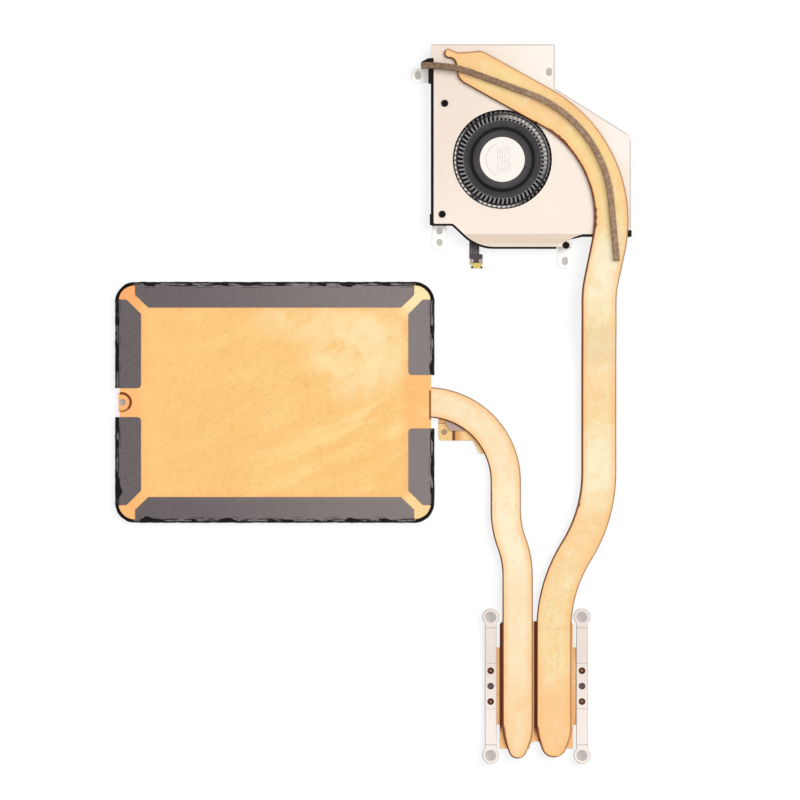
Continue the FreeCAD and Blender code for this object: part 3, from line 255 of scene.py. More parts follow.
def copper(name, pale, deep, mottled, roughness):
    """Bare copper: pale and deeper clouds, with a fine grain and mottling in a third colour."""
    finish = Finish(name, 0.55, roughness)
    clouds = finish.noise(24, 3, 0.55).step(0.38, 0.64)
    small = finish.noise(5.0, 4, 0.6)
    grain = finish.noise(0.7, 3, 0.65)
    colour = finish.mix(clouds * 0.7, shade(*pale), shade(*deep))
    colour = finish.mix(small.step(0.5, 0.75) * 0.5, colour, shade(*deep))
    colour = finish.mix(grain.step(0.5, 0.74) * 0.2, colour, shade(*mottled))
    mottle = finish.noise(1.5, 4, 0.7)
    colour = finish.mix(mottle.step(0.48, 0.68) * 0.22, colour, shade(*mottled))
    finish.feed("Roughness", roughness + 0.1 * small + 0.05 * grain)
    finish.bump(grain + small, 0.01, 0.3)
    return finish, colour


def shaded_flanks(finish, colour, dark, line, far=(0.97, 0.99995), near=(0.6, 0.96)):
    """Painted shade: dark brown over the whole flank away from the lamp, and a thin brown line at the foot of
    the others, partly tarnish and partly painted shade.
    """
    colour = finish.mix((1 - finish.up.step(*near)) * 0.8, colour, shade(*line))
    away = (finish.side_x * away_from_lamp.x + finish.side_y * away_from_lamp.y).step(0.03, 0.3)
    return finish.mix((1 - finish.up.step(*far)) * away, colour, shade(*dark))


def pipe_finish():
    """Golden over the fan, cream and gold by turns further down, and orange at the tips, with painted shade
    along the flanks.
    """
    finish, colour = copper("drawn_copper", (253, 228, 172), (251, 218, 160), (190, 134, 88), 0.4)
    streaks = finish.noise(1.0, 3, 0.6, finish.stretched((420, 42, 1)))
    colour = finish.mix(streaks.step(0.5, 0.75) * 0.4, colour, shade(255, 240, 200))
    blotches = finish.noise(4, 4, 0.65)
    over_fan = finish.y.step(142, 166)
    colour = finish.mix(over_fan * 0.7, colour, shade(253, 220, 152))
    left = (1 - finish.x.step(-1.6, -0.6)) * (1 - finish.y.step(100, 116))
    colour = finish.mix(left * 0.75, colour, shade(254, 232, 196))
    cloud = finish.noise(7, 3, 0.55).step(0.25, 0.7)
    cream = finish.spots(
        (21, 134, 16, 19, 1), (20, 71, 14, 17, 0.85), (-8, 50, 14, 22, 0.8), (-6, 16, 10, 20, 0.15),
    )
    colour = finish.mix(cream * (0.55 + 0.35 * cloud), colour, shade(255, 245, 214))
    tips = (1 - finish.y.step(-6, 10)) * (0.85 + 0.15 * cloud) * (0.55 + 0.45 * finish.x.step(-2, 2))
    below_foam = finish.spot(-2, 187, 26, 11) * (0.3 + 0.5 * cloud)
    orange = finish.spots((20, 97, 16, 15, 0.4), (14, 48, 14, 16, 0.5), (-24, 204, 12, 12, 0.8))
    colour = finish.mix(orange.above(tips).above(below_foam), colour, shade(253, 206, 150))
    pale = finish.spots((22, 108, 10, 14, 1), (-14, 70, 12, 14, 0.6))
    colour = finish.mix(pale * 0.35, colour, shade(255, 236, 200))
    colour = finish.mix(blotches.step(0.5, 0.7) * 0.35, colour, shade(252, 202, 138))
    colour = finish.mix((1 - blotches.step(0.3, 0.48)) * 0.35, colour, shade(255, 244, 212))
    inside = finish.node("ShaderNodeAttribute", {"attribute_name": "inside"}, output=2)
    edge = (1 - inside.step(0.3, 3.0)) * (0.3 + 0.5 * cloud)
    colour = finish.mix(edge, colour, shade(252, 198, 132))
    # Painted shade: a dark brown band along the flanks that face away from the lamp, wider up the right pipe
    # and at the rounded tips, and fainter on part of the left pipe.
    facing_away = finish.node("ShaderNodeAttribute", {"attribute_name": "facing_away"}, output=2)
    right_rise = finish.y.step(20, 60) * finish.x.step(-4, 6) * 0.3
    rounded_tips = finish.y.step(-23, -16) * (1 - finish.y.step(-14, -12)) * 0.5
    flank = 1 - (inside - right_rise.above(rounded_tips)).step(0.1, 0.6)
    faint = finish.y.step(76, 84) * (1 - finish.x.step(-18, -8)) * (1 - finish.y.step(104, 110))
    dark_flank = flank * facing_away.step(0.1, 0.5) * (0.9 - 0.6 * faint)
    colour = finish.mix(dark_flank, colour, shade(118, 56, 24))
    # Painted shade, partly tarnish: a thin brown line on the flanks that face the lamp.
    right_line = (1 - inside.step(0.15, 0.65)) * (1 - facing_away.step(-0.2, 0.2))
    colour = finish.mix(right_line * 0.85, colour, shade(162, 104, 68))
    finish.feed("Base Color", shaded_flanks(finish, colour, (128, 64, 32), (172, 122, 92)))
    return finish.material


def spreader_finish():
    """Rolled sheet: warm at its edges, pale diagonal strokes at the lower right, and a dark ear, with painted
    shade on its flanks, along the edge where the left pipe comes out and on the ear's pocket wall.
    """
    deep = (252, 199, 122)
    finish, colour = copper("rolled_copper", (254, 208, 133), deep, (222, 156, 88), 0.42)
    strokes = finish.noise(1.0, 4, 0.6, finish.stretched((30, 130, 1), -24), 0.5)
    lower_right = finish.x.step(-104, -50) * (1 - finish.y.step(84, 116))
    colour = finish.mix(strokes.step(0.48, 0.66) * (0.2 + 0.55 * lower_right), colour, shade(255, 224, 156))
    between = 1 - strokes.step(0.3, 0.46)
    colour = finish.mix(between * (0.2 + 0.6 * lower_right), colour, shade(251, 194, 112))
    shine = finish.spots((-57, 110, 22, 22, 1), (-70, 121, 28, 12, 0.8))
    shine = shine * finish.noise(8, 4, 0.6).step(0.25, 0.65)
    colour = finish.mix(shine * 0.75, colour, shade(255, 236, 186))
    rolled = finish.noise(1.0, 2, 0.5, finish.stretched((1800, 60, 1)))
    colour = finish.mix(rolled.step(0.5, 0.8) * 0.12, colour, shade(*deep))
    left_side = 1 - finish.x.step(-132, -100)
    colour = finish.mix(left_side * 0.4, colour, shade(254, 199, 128))
    bare_middle = Vector((-85.1, 92.4, 0))
    bare_half = Vector((43.4, 30.95, 0))
    across = abs(finish.x - bare_middle.x) - bare_half.x
    past_bare = across.above(abs(finish.y - bare_middle.y) - bare_half.y)
    patchy = finish.noise(6, 3, 0.6).step(0.3, 0.65)
    warm = (past_bare.step(-3.5, 0.6) * (0.3 + 0.5 * patchy)).above(finish.spot(-134, 90, 8, 9))
    colour = finish.mix(warm * 0.8, colour, shade(255, 186, 118))
    creamy = finish.spots((-38, 126.5, 10, 10, 1), (-38, 58, 8, 8, 0.55))
    colour = finish.mix(creamy * 0.9, colour, shade(255, 238, 184))
    reddish = finish.spots((-133.5, 128, 8, 8, 1), (-132.5, 57, 7, 7, 0.4))
    colour = finish.mix(reddish * 0.8, colour, shade(255, 172, 108))
    colour = shaded_flanks(finish, colour, (130, 66, 30), (170, 104, 62), (0.9, 0.995), (0.2, 0.7))
    # Painted shadow: a dark line along the plate's right edge where the left pipe comes out from under it.
    lip = finish.x.step(-35.0, -34.8) * finish.y.band(91.4, 4.6, 0.3)
    colour = finish.mix(lip * 0.9, colour, shade(140, 76, 34))
    ear = finish.spot(-135.98, 92.3, 4.6, 4.6).step(0.02, 0.1)
    # Painted shade on the sloping wall of the ear's pressed pocket, on its right side.
    wall = ear * (1 - finish.up.step(0.6, 0.97)) * finish.x.step(-137, -134.4)
    colour = finish.mix(wall * 0.9, colour, shade(156, 82, 30))
    tab = ear * (1 - finish.x.step(-136.35, -136.1))
    finish.feed("Base Color", finish.mix(tab * 0.8, colour, shade(150, 122, 92)))
    return finish.material


def plate_finish(name="milled_copper", pale=(255, 204, 146), deep=(251, 188, 124), mottled=(200, 130, 84)):
    """Milled copper, with painted shade on its flanks, and dark painted shade at the processor between the
    two pipes and along the left one.
    """
    finish, colour = copper(name, pale, deep, mottled, 0.42)
    colour = shaded_flanks(finish, colour, (98, 50, 26), (176, 116, 78))
    # Painted shade: dark strips on the plates between the two pipes and along the left one, near the
    # processor.
    between = finish.x.step(-1.0, -0.6) * (1 - finish.x.step(-0.1, 0.4) * 0.6) * (1 - finish.x.step(1.2, 1.6))
    between = between * finish.y.step(-17, -13)
    left = (1 - finish.x.step(-11.15, -10.95)) * finish.z.step(1.4, 1.55) * finish.y.step(-16, -12.5)
    near_processor = 1 - finish.y.step(30, 40)
    colour = finish.mix(between.above(left) * near_processor, colour, shade(108, 46, 14))
    finish.feed("Base Color", colour)
    return finish.material


def bracket_finish():
    """The pale thin sheet below the left pipe, with painted shade on its flanks and where it steps down to
    its ear.
    """
    finish, colour = copper("bracket_copper", (255, 219, 158), (252, 206, 139), (205, 145, 88), 0.42)
    ear = (1 - finish.x.step(-27.6, -27.2)) * (1 - finish.y.step(84.6, 84.9))
    colour = finish.mix(ear * 0.4, colour, shade(248, 206, 134))
    # Painted shade on the slope that faces away from the lamp where the sheet steps down.
    slope = finish.x.step(-27.0, -26.4) * (1 - finish.x.step(-26.0, -23.2))
    colour = finish.mix(slope * 0.75, colour, shade(226, 150, 88))
    upper = finish.y.step(85.4, 85.7) * (1 - finish.x.step(-26.0, -25.0))
    colour = finish.mix(upper * 0.7, colour, shade(240, 172, 104))
    # Painted shade: dark lines along the folds of the step.
    upright_fold = finish.x.band(-26.85, 0.38, 0.2) * (1 - finish.y.step(83.0, 83.3))
    level_fold = finish.y.band(85.45, 0.08, 0.16) * 0.7 * (1 - finish.x.step(-26.0, -25.0))
    colour = finish.mix(upright_fold.above(level_fold) * 0.92, colour, shade(100, 46, 10))
    finish.feed("Base Color", shaded_flanks(finish, colour, (112, 62, 34), (170, 124, 88)))
    return finish.material


def film_finish():
    """Dark-grey film, glossier in the band that is folded over the rim, where black is painted in as
    reflection and shade in its creases, and as shade where it turns down at the corners.
    """
    finish = Finish("folded_film", 0.0, 0.45, Specular_IOR_Level=0.08)
    across = abs(finish.x - film_centre.x) - (film_half.x - film_corner)
    up = abs(finish.y - film_centre.y) - (film_half.y - film_corner)
    out_x, out_y = across.above(0.0), up.above(0.0)
    past = out_x.reach(out_y) + across.above(up).below(0.0) - film_corner
    corner = out_x.below(out_y).step(0.05, 0.6)
    along = finish.x + finish.y
    left = 1 - finish.x.step(-134.6, -132.0)

    def slow(scale, seed):
        """Slow noise along the rim, of its own for each seed."""
        return finish.noise(1.0, 2, 0.5, finish.joined(along * scale, 0.0, seed))

    # Painted reflection and shade: black blots, an outline and crease lines wandering along the folded band.
    wander = slow(0.16, 9.0) - 0.5
    swelling = (slow(0.12, 2.0) - 0.475 + 0.04 * left).above(0.0) * 6
    blot = 1 - (abs(past + 0.7 + wander * 1.6) - swelling).step(-0.06, 0.06)
    outline = (past + wander * 0.6).step(-0.6, -0.45) * slow(0.3, 4.0).step(0.3, 0.38).above(left)
    crease = (past + 1.2 + wander * 1.2).band(0.0, 0.11, 0.1) * slow(0.1, 14.0).step(0.46, 0.52).above(left)
    second = (past + 1.75 + wander * 0.5).band(0.0, 0.05, 0.12) * slow(0.12, 21.0).step(0.5, 0.56)
    black = (blot * swelling.step(0.0, 0.08)).above(outline).above(crease).above(second * 0.55)
    rim = past.step(-1.5, -1.1)
    fine = finish.noise(1.0, 3, 0.6, finish.joined(along * 0.9, past * 1.6, 3.0))
    tone = finish.x.step(-136, -36)
    grain = finish.noise(0.7, 3, 0.6)
    colour = finish.mix(tone, shade(104, 96, 97), shade(136, 127, 126))
    colour = finish.mix(grain.step(0.4, 0.8) * 0.22, colour, shade(150, 141, 140))
    colour = finish.mix((1 - grain.step(0.25, 0.5)) * 0.2, colour, shade(84, 78, 80))
    colour = finish.mix(rim * fine.step(0.35, 0.65) * 0.55, colour, shade(150, 147, 148))
    colour = finish.mix(rim * (1 - fine.step(0.35, 0.6)) * 0.6, colour, shade(70, 64, 62))
    # Painted shade where the film turns down over the corners.
    colour = finish.mix(corner * past.step(-1.45, -1.15), colour, shade(24, 15, 10))
    colour = finish.mix(black * 0.97, colour, shade(12, 10, 10))
    finish.feed("Base Color", colour)
    finish.feed("Roughness", 0.5 - 0.12 * rim)
    finish.bump(rim * fine + grain * 0.04, 0.08, 0.5)
    return finish.material


def steel_finish(name, colour, worn):
    """Pale matt steel sheet with faint clouds and specks."""
    finish = Finish(name, 0.35)
    clouds = finish.noise(14, 3, 0.5).step(0.35, 0.7)
    specks = finish.noise(1.5, 4, 0.65).step(0.5, 0.72)
    mixed = finish.mix(clouds * 0.35, shade(*colour), shade(*worn))
    mixed = finish.mix(specks * 0.45, mixed, shade(*worn))
    finish.feed("Roughness", 0.5 + 0.12 * specks)
    finish.bump(finish.noise(0.35, 2, 0.5), 0.005, 0.35)
    return finish, mixed


def spring_finish():
    """Pale spring steel with painted shade: grey outlines, darker on the left away from the lamp, and faint
    lines where the arms are bent.
    """
    finish, colour = steel_finish("spring_steel", (241, 228, 219), (228, 214, 205))
    side = finish.x.math("SIGN")
    across = finish.x - side * arm_across
    high = abs(finish.y)
    past_eye = high - eye_along
    colour = finish.mix((1 - finish.y.step(-14, 10)) * 0.7, colour, shade(251, 242, 234))
    # Painted shade: faint lines across the arms where they are bent.
    for bend, strength in ((7.4, 0.35), (19.0, 0.5)):
        colour = finish.mix(high.band(bend, 0.09, 0.12) * strength, colour, shade(150, 140, 136))
    # Painted shade: grey outlines along the arms and round the eyes, darker on the left, away from the lamp.
    arm = abs(across).step(1.6, 1.82) * (1 - high.step(20.0, 20.4))
    eye = across.reach(past_eye).step(2.45, 2.66)
    crossing = (1 - abs(across).step(1.7, 1.9)) * (1 - high.step(22.0, 22.4))
    outline = arm.above(eye * high.step(19.6, 20.0) * (1 - crossing))
    dark = (across * -1).step(0.4, 1.2) * (1 - past_eye.above(0.0).step(2.6, 2.8))
    colour = finish.mix(outline * (0.42 + 0.42 * dark), colour, shade(116, 106, 104))
    finish.feed("Base Color", colour)
    return finish.material


def cover_outline(finish):
    """How far a point lies past the cover's upper and right sides, below 0 inside them."""
    top_side, right_side = 208.55, 30.6
    notch_x, notch_y = 5.9, 194.3
    slant_x, slant_y = 0.5327, 0.8462
    far_inside = 50
    left_of_notch = 1 - finish.x.step(notch_x - 0.3, notch_x + 0.1)
    below_notch = 1 - finish.y.step(notch_y - 0.3, notch_y + 0.3)
    slanted = (finish.x - notch_x) * slant_x + (finish.y - notch_y) * slant_y - left_of_notch * far_inside
    upright = finish.x - notch_x - below_notch * far_inside
    return (finish.y - top_side).above(finish.x - right_side).above(upright).above(slanted)


def housing_finish():
    """The blower's steel sheets, with painted shade on the cover's ramp, edges and sloping sides and on the
    base inside the housing, and a painted glow of light on the base between some of the blades and on its
    ears.
    """
    finish, colour = steel_finish("housing_steel", (247, 231, 217), (237, 218, 202))
    base = 1 - finish.z.step(0.6, 1.0)
    bright = finish.x.step(-36, 6).above(1 - finish.y.step(146, 168))
    colour = finish.mix(bright * 0.75, colour, shade(254, 242, 229))
    upper_right = finish.x.step(-14, 4) * finish.y.step(184, 198)
    pale = upper_right.above(finish.x.step(18, 26) * finish.y.step(166, 174))
    colour = finish.mix(pale * 0.8, colour, shade(255, 247, 238))
    # Painted shade on the cover's sloping ramp and along the crease at its top, lighter towards its lower
    # end.
    ramp = (finish.side_y * -1).step(0.07, 0.13) * finish.up.step(0.9, 0.97)
    ramp = ramp.above(finish.y.band(146.5, 0.45, 0.08) * finish.x.band(-10, 23.8, 0.2) * (1 - base))
    colour = finish.mix(ramp * (0.45 + 0.55 * finish.y.step(142.8, 144.6)), colour, shade(234, 212, 192))
    # Painted shade: a grey line inside the cover's upper and right edges, and grey on the sloping sides of
    # the sheets.
    outline = cover_outline(finish).step(-0.42, -0.3) * finish.z.step(3.5, 3.7)
    colour = finish.mix(outline * 0.7, colour, shade(190, 176, 166))
    colour = finish.mix((1 - finish.up.step(0.8, 0.985)) * 0.85, colour, shade(158, 147, 143))
    across, up, radius = finish.from_fan()
    round_about = radius.step(21, 23)
    ears = round_about * finish.up.step(0.9, 0.98)
    colour = finish.mix(base * ears, colour, shade(255, 252, 248))
    # Painted shade: the base is dark inside the housing, round the blades.
    colour = finish.mix(base * (1 - round_about), colour, shade(70, 64, 62))
    finish.feed("Base Color", colour)
    # Painted light: a glow on the base in rings under the blades, on the lamp's side and on the far side, and
    # a faint glow on the base's ears.
    towards_lamp = (across * 0.8 + up * 0.6) / radius
    lamp_side = towards_lamp.step(0.35, 0.9) * radius.band(14.5, 0.7, 0.3) * 0.7
    far_side = (towards_lamp * -1).step(0.1, 0.6) * radius.band(15.25, 0.2, 0.25)
    glow = base * lamp_side.above(far_side).above(ears * 0.22)
    finish.feed("Emission Color", finish.mix(glow, grey(0), shade(250, 242, 234)))
    finish.feed("Emission Strength", 0.8)
    return finish.material


def moulded_finish(name, colour, worn, roughness=0.45):
    """Moulded plastic with a fine spark-eroded grain and paler worn places."""
    finish = Finish(name, 0.0, roughness, Specular_IOR_Level=0.12)
    clouds = finish.noise(3.5, 3, 0.55)
    fine = finish.noise(0.4, 2, 0.6)
    worn_places = clouds.step(0.45, 0.75) * 0.5 + fine.step(0.55, 0.8) * 0.3
    finish.feed("Base Color", finish.mix(worn_places, shade(*colour), shade(*worn)))
    finish.feed("Roughness", roughness + 0.16 * clouds - 0.05)
    finish.bump(fine, 0.01, 0.5)
    return finish.material


def impeller_finish():
    """Grey moulded plastic, with painted shade making it near black on the blades' sides, between the blades,
    and in and around the groove round the hub.
    """
    finish = Finish("impeller_grey", 0.0, 0.4, Specular_IOR_Level=0.25)
    across, up, radius = finish.from_fan()
    clouds = finish.noise(5, 3, 0.55).step(0.35, 0.7)
    fine = finish.noise(0.4, 2, 0.6)
    colour = finish.mix(clouds * 0.6 + fine.step(0.55, 0.8) * 0.15, shade(64, 62, 64), shade(80, 77, 78))
    blades = radius.step(12.55, 12.75)
    # Painted shade: near black on the turned faces and low between the blades.
    turned = 1 - finish.up.step(0.4, 0.9)
    colour = finish.mix(turned * (0.5 + 0.5 * blades), colour, shade(20, 19, 20))
    colour = finish.mix(blades * (1 - finish.z.step(2.2, 3.2)) * 0.9, colour, shade(14, 13, 14))
    tops = blades * finish.up.step(0.9, 0.98) * finish.z.step(3.1, 3.3) * (1 - radius.step(15.3, 15.6))
    colour = finish.mix(tops * 0.5, colour, shade(176, 173, 172))
    colour = finish.mix(radius.band(14.8, 0.32, 0.1) * 0.85, colour, shade(24, 22, 23))
    shaded = ((across * -0.9 - up * 0.4) / radius).step(-0.3, 0.9) * radius.band(11.0, 0.7, 1.0)
    colour = finish.mix(shaded * 0.5, colour, shade(34, 32, 34))
    # Painted shade: dark round the groove and near black in it.
    colour = finish.mix(radius.band(10.1, 0.3, 1.6) * 0.5, colour, shade(38, 36, 38))
    groove = radius.band(10.1, 0.36, 0.3)
    finish.feed("Base Color", finish.mix(groove * 0.95, colour, shade(12, 11, 12)))
    finish.feed("Roughness", 0.4 + 0.12 * fine)
    finish.bump(fine, 0.008, 0.4)
    return finish.material


def foam_finish():
    """Open-cell brown foam with dark pores."""
    finish = Finish("open_foam", 0.0, 0.95, Specular_IOR_Level=0.1)
    cells = finish.node(
        "ShaderNodeTexVoronoi", {"feature": "DISTANCE_TO_EDGE"},
        {"Vector": finish.object, "Scale": 1900.0},
    )
    tone = finish.noise(0.9, 3, 0.6)
    colour = finish.mix(tone.step(0.35, 0.7), shade(136, 108, 86), shade(180, 150, 124))
    colour = finish.mix((1 - cells.step(0.02, 0.12)) * 0.45, colour, shade(188, 160, 136))
    colour = finish.mix(finish.noise(0.5, 2, 0.6).step(0.57, 0.7) * 0.65, colour, shade(80, 58, 44))
    end = (1 - finish.x.step(-34, 6)) * finish.y.step(180, 196)
    finish.feed("Base Color", finish.mix(end * 0.45, colour, shade(92, 76, 56)))
    finish.bump(cells, 0.12, 0.7)
    return finish.material


def label_finish():
    """Off-white paper, blank apart from a plain printed ring and a few plain bars."""
    # Painted light: the paper glows faintly, to lift it in the shade of the cover above it.
    finish = Finish("label_paper", 0.0, 0.6, Specular_IOR_Level=0.25, Emission_Strength=0.07)
    finish.feed("Emission Color", (1, 0.97, 0.93, 1))
    across, up, radius = finish.from_fan()
    ring = radius.band(5.3, 0.05, 0.08) * (1 - across.step(-2.5, -1.0))
    pitch = 0.75
    bars = abs(across.math("PINGPONG", pitch) - pitch / 2).step(0.2, 0.3)
    gaps = finish.noise(1.0, 1, 0.5, finish.joined(across.math("SNAP", pitch), up * 1.1)).step(0.42, 0.5)
    bars = bars * gaps * across.band(0.6, 2.3, 0.05) * up.band(0.0, 4.2, 0.05)
    fibres = finish.noise(0.5, 3, 0.6)
    colour = finish.mix(fibres.step(0.4, 0.7) * 0.3, shade(243, 237, 230), shade(229, 221, 213))
    colour = finish.mix(ring.above(bars * 0.8) * 0.55, colour, shade(140, 132, 128))
    finish.feed("Base Color", colour)
    finish.bump(fibres, 0.006, 0.4)
    return finish.material


def flex_finish():
    """Black polyimide with the circuit's lines showing through, and a gilt end."""
    finish = Finish("flex_black", 0.0, 0.4, Specular_IOR_Level=0.25)
    pitch = 0.75
    tail = finish.y.step(140.6, 140.8)
    lines = abs(finish.x.math("PINGPONG", pitch) - pitch / 2).step(0.2, 0.3) * tail
    cloud = finish.noise(1.2, 3, 0.6)
    colour = finish.mix(lines * 0.6, shade(78, 71, 76), shade(168, 158, 162))
    colour = finish.mix(cloud.step(0.5, 0.8) * 0.3, colour, shade(40, 36, 36))
    colour = finish.mix(finish.spot(-19.5, 138.5, 1.3, 1.3).step(0.3, 0.5) * 0.6, colour, shade(96, 68, 60))
    dots = finish.spots((-21.0, 138.3, 0.75, 0.75, 1), (-18.05, 138.3, 0.75, 0.75, 1))
    colour = finish.mix(dots.step(0.25, 0.5), colour, shade(206, 200, 196))
    finish.feed("Base Color", finish.mix(1 - finish.y.step(137.5, 137.7), colour, shade(206, 184, 112)))
    finish.bump(lines, 0.02, 0.5)
    return finish.material


def rivet_finish():
    """Rivet heads: copper in the middle, with painted shade darkening them to brown towards the rim."""
    finish = Finish("rivet_head", 0.5, 0.45)
    radius = (abs(finish.x) - arm_across).reach(abs(finish.y) - rivet_along) + finish.noise(0.7, 2, 0.5) * 0.3
    colour = finish.mix(radius.step(0.3, 0.7), shade(186, 126, 84), shade(84, 46, 28))
    specks = finish.noise(0.3, 2, 0.5).step(0.5, 0.7)
    finish.feed("Base Color", finish.mix(specks * 0.3, colour, shade(60, 30, 20)))
    return finish.material


def metal_finish(name, colour, worn, roughness=0.3, metallic=0.9, grain=0.6):
    """A small metal part, with a turned or plated surface."""
    finish = Finish(name, metallic, roughness)
    cloud = finish.noise(grain, 3, 0.6)
    finish.feed("Base Color", finish.mix(cloud.step(0.45, 0.7) * 0.6, shade(*colour), shade(*worn)))
    finish.feed("Roughness", roughness + 0.15 * cloud)
    finish.bump(cloud, 0.008, 0.3)
    return finish.material


finishes = {
    "spreader_copper": spreader_finish(),
    "pipe_copper": pipe_finish(),
    "plate_copper": plate_finish(),
    "rivet_copper": rivet_finish(),
    "fin_copper": plate_finish("fin_copper", (214, 150, 104), (190, 120, 78), (120, 66, 40)),
    "edge_film": film_finish(),
    "spring_steel": spring_finish(),
    "housing_steel": housing_finish(),
    "frame_plastic": moulded_finish("frame_black", (24, 21, 20), (40, 35, 33)),
    "impeller_plastic": impeller_finish(),
    "screw_black": moulded_finish("screw_black", (20, 18, 17), (44, 36, 31), 0.5),
    "foam": foam_finish(),
    "pad_grey": moulded_finish("pad_grey", (182, 160, 154), (202, 182, 174), 0.8),
    "label_paper": label_finish(),
    "rotor_steel": metal_finish("rotor_steel", (190, 190, 188), (160, 158, 156)),
    "magnet": moulded_finish("magnet_dark", (74, 74, 78), (96, 94, 96), 0.6),
    "shaft_steel": metal_finish("shaft_steel", (222, 222, 220), (196, 196, 194), 0.15, 1.0),
    "holder_brass": metal_finish("holder_brass", (228, 196, 128), (204, 168, 98)),
    "sleeve_bronze": metal_finish("sleeve_bronze", (190, 138, 84), (160, 108, 62), 0.4),
    "washer_plastic": moulded_finish("washer_plastic", (214, 206, 192), (228, 222, 210), 0.5),
    "stator_steel": metal_finish("stator_steel", (150, 150, 152), (120, 120, 124), 0.4),
    "coil_wire": metal_finish("coil_wire", (198, 112, 62), (160, 80, 42), 0.3, 0.8, 0.3),
    "flex_film": flex_finish(),
    "stiffener": moulded_finish("stiffener_black", (42, 40, 40), (60, 56, 56), 0.6),
    "contact_gold": metal_finish("contact_gold", (240, 212, 120), (214, 182, 92), 0.25, 0.8, 0.3),
}


def alone(piece):
    """Makes a piece the only selected one."""
    bpy.ops.object.select_all(action="DESELECT")
    piece.select_set(True)
    bpy.context.view_layer.objects.active = piece


def applied(piece, kind, **settings):
    """Adds a modifier to a piece and applies it."""
    modifier = piece.modifiers.new(kind.lower(), kind)
    for key, value in settings.items():
        setattr(modifier, key, value)
    alone(piece)
    bpy.ops.object.modifier_apply(modifier=modifier.name)


def from_node(name, node):
    """A new piece with a node's form, its loose triangles merged into whole faces."""
    piece = bpy.data.objects.new(name, frame["nodes"][node].data.copy())
    scene.collection.objects.link(piece)
    alone(piece)
    bpy.ops.object.mode_set(mode="EDIT")
    bpy.ops.mesh.select_all(action="SELECT")
    bpy.ops.mesh.remove_doubles(threshold=0.002 * MM)
    bpy.ops.mesh.dissolve_limited(angle_limit=math.radians(1))
    bpy.ops.object.mode_set(mode="OBJECT")
    return piece


def dressed(piece, node, body="chassis", finish=None):
    """Gives a piece its node's finish and body, and lets it stand for the node."""
    slot = slots[node]
    piece.data.materials.clear()
    piece.data.materials.append(finish or finishes[slot])
    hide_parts(node)
    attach(piece, body)


def smoothed(piece, angle):
    """Smooth curved faces, up to an angle in degrees between them, and even flat ones."""
    alone(piece)
    bpy.ops.object.shade_smooth_by_angle(angle=math.radians(angle))
    applied(piece, "WEIGHTED_NORMAL", mode="FACE_AREA", keep_sharp=True)


def roughened(piece, name, size, depth, middle, group=""):
    """Moves a piece's surface in and out by soft noise of a size and depth in millimetres."""
    texture = bpy.data.textures.new(name, "CLOUDS")
    texture.noise_scale = size * MM
    texture.noise_depth = 1
    applied(
        piece, "DISPLACE", texture=texture, texture_coords="LOCAL", direction="NORMAL",
        vertex_group=group, strength=depth * MM, mid_level=middle,
    )


def softened(name, node, edge, angle=32, body="chassis", finish=None):
    """A node with broken edges of a width in millimetres and smooth curved faces."""
    piece = from_node(name, node)
    if edge:
        applied(
            piece, "BEVEL", width=edge * MM, segments=2, limit_method="ANGLE",
            angle_limit=math.radians(40), use_clamp_overlap=True,
        )
    smoothed(piece, angle)
    dressed(piece, node, body, finish)


def sliced(piece, spacing):
    """Cuts a piece's faces at even spacing, across and then along, so that they can be shaped."""
    for axis in (0, 1):
        places = [vertex.co[axis] for vertex in piece.data.vertices]
        normal = [0, 0, 0]
        normal[axis] = 1
        alone(piece)
        bpy.ops.object.mode_set(mode="EDIT")
        place = min(places) + spacing * MM / 2
        while place < max(places):
            point = [0, 0, 0]
            point[axis] = place
            bpy.ops.mesh.select_all(action="SELECT")
            bpy.ops.mesh.bisect(plane_co=point, plane_no=normal)
            place += spacing * MM
        bpy.ops.object.mode_set(mode="OBJECT")


def flat_pipe(name, node):
    """A flattened pipe. Its points note how far in from its edge they lie, and which way that edge faces."""
    piece = from_node(name, node)
    sliced(piece, 0.8)
    for note in ("inside", "facing_away"):
        piece.data.attributes.new(note, "FLOAT", "POINT")
    inside, facing_away = (piece.data.attributes[note].data for note in ("inside", "facing_away"))
    side_lean = 0.35
    outline = [vertex for vertex in piece.data.vertices if abs(vertex.normal.z) < side_lean]
    tree = KDTree(len(outline))
    for i, vertex in enumerate(outline):
        tree.insert(vertex.co.xy.to_3d(), i)
    tree.balance()
    for i, vertex in enumerate(piece.data.vertices):
        _, nearest, distance = tree.find(vertex.co.xy.to_3d())
        inside[i].value = distance / MM
        facing_away[i].value = outline[nearest].normal.dot(away_from_lamp)
    smoothed(piece, 50)
    dressed(piece, node)


def past_outline(point):
    """How far a point in plan, in millimetres, lies past the film's outline, below 0 inside it."""
    across = abs(point.x - film_centre.x) - (film_half.x - film_corner)
    up = abs(point.y - film_centre.y) - (film_half.y - film_corner)
    return math.hypot(max(across, 0), max(up, 0)) + min(max(across, up), 0) - film_corner


def creased_film(name, node):
    """The film, wrinkled where it is folded over the spreader's rim."""
    piece = from_node(name, node)
    sliced(piece, 0.9)
    group = piece.vertex_groups.new(name="rim")
    skin, folded = 0.06, 1.6
    for vertex in piece.data.vertices:
        point = vertex.co / MM
        out = past_outline(point)
        drop = film_top - point.z
        near = math.hypot(max(out + film_edge, 0), max(film_edge - drop, 0))
        outer = near > film_edge - skin if drop < film_edge else out > -skin
        if outer and out > -folded:
            group.add([vertex.index], min(1, (out + folded) / 0.5), "REPLACE")
    roughened(piece, "creases", 2.6, 0.34, 0.4, "rim")
    alone(piece)
    bpy.ops.object.shade_smooth_by_angle(angle=math.radians(38))
    dressed(piece, node)


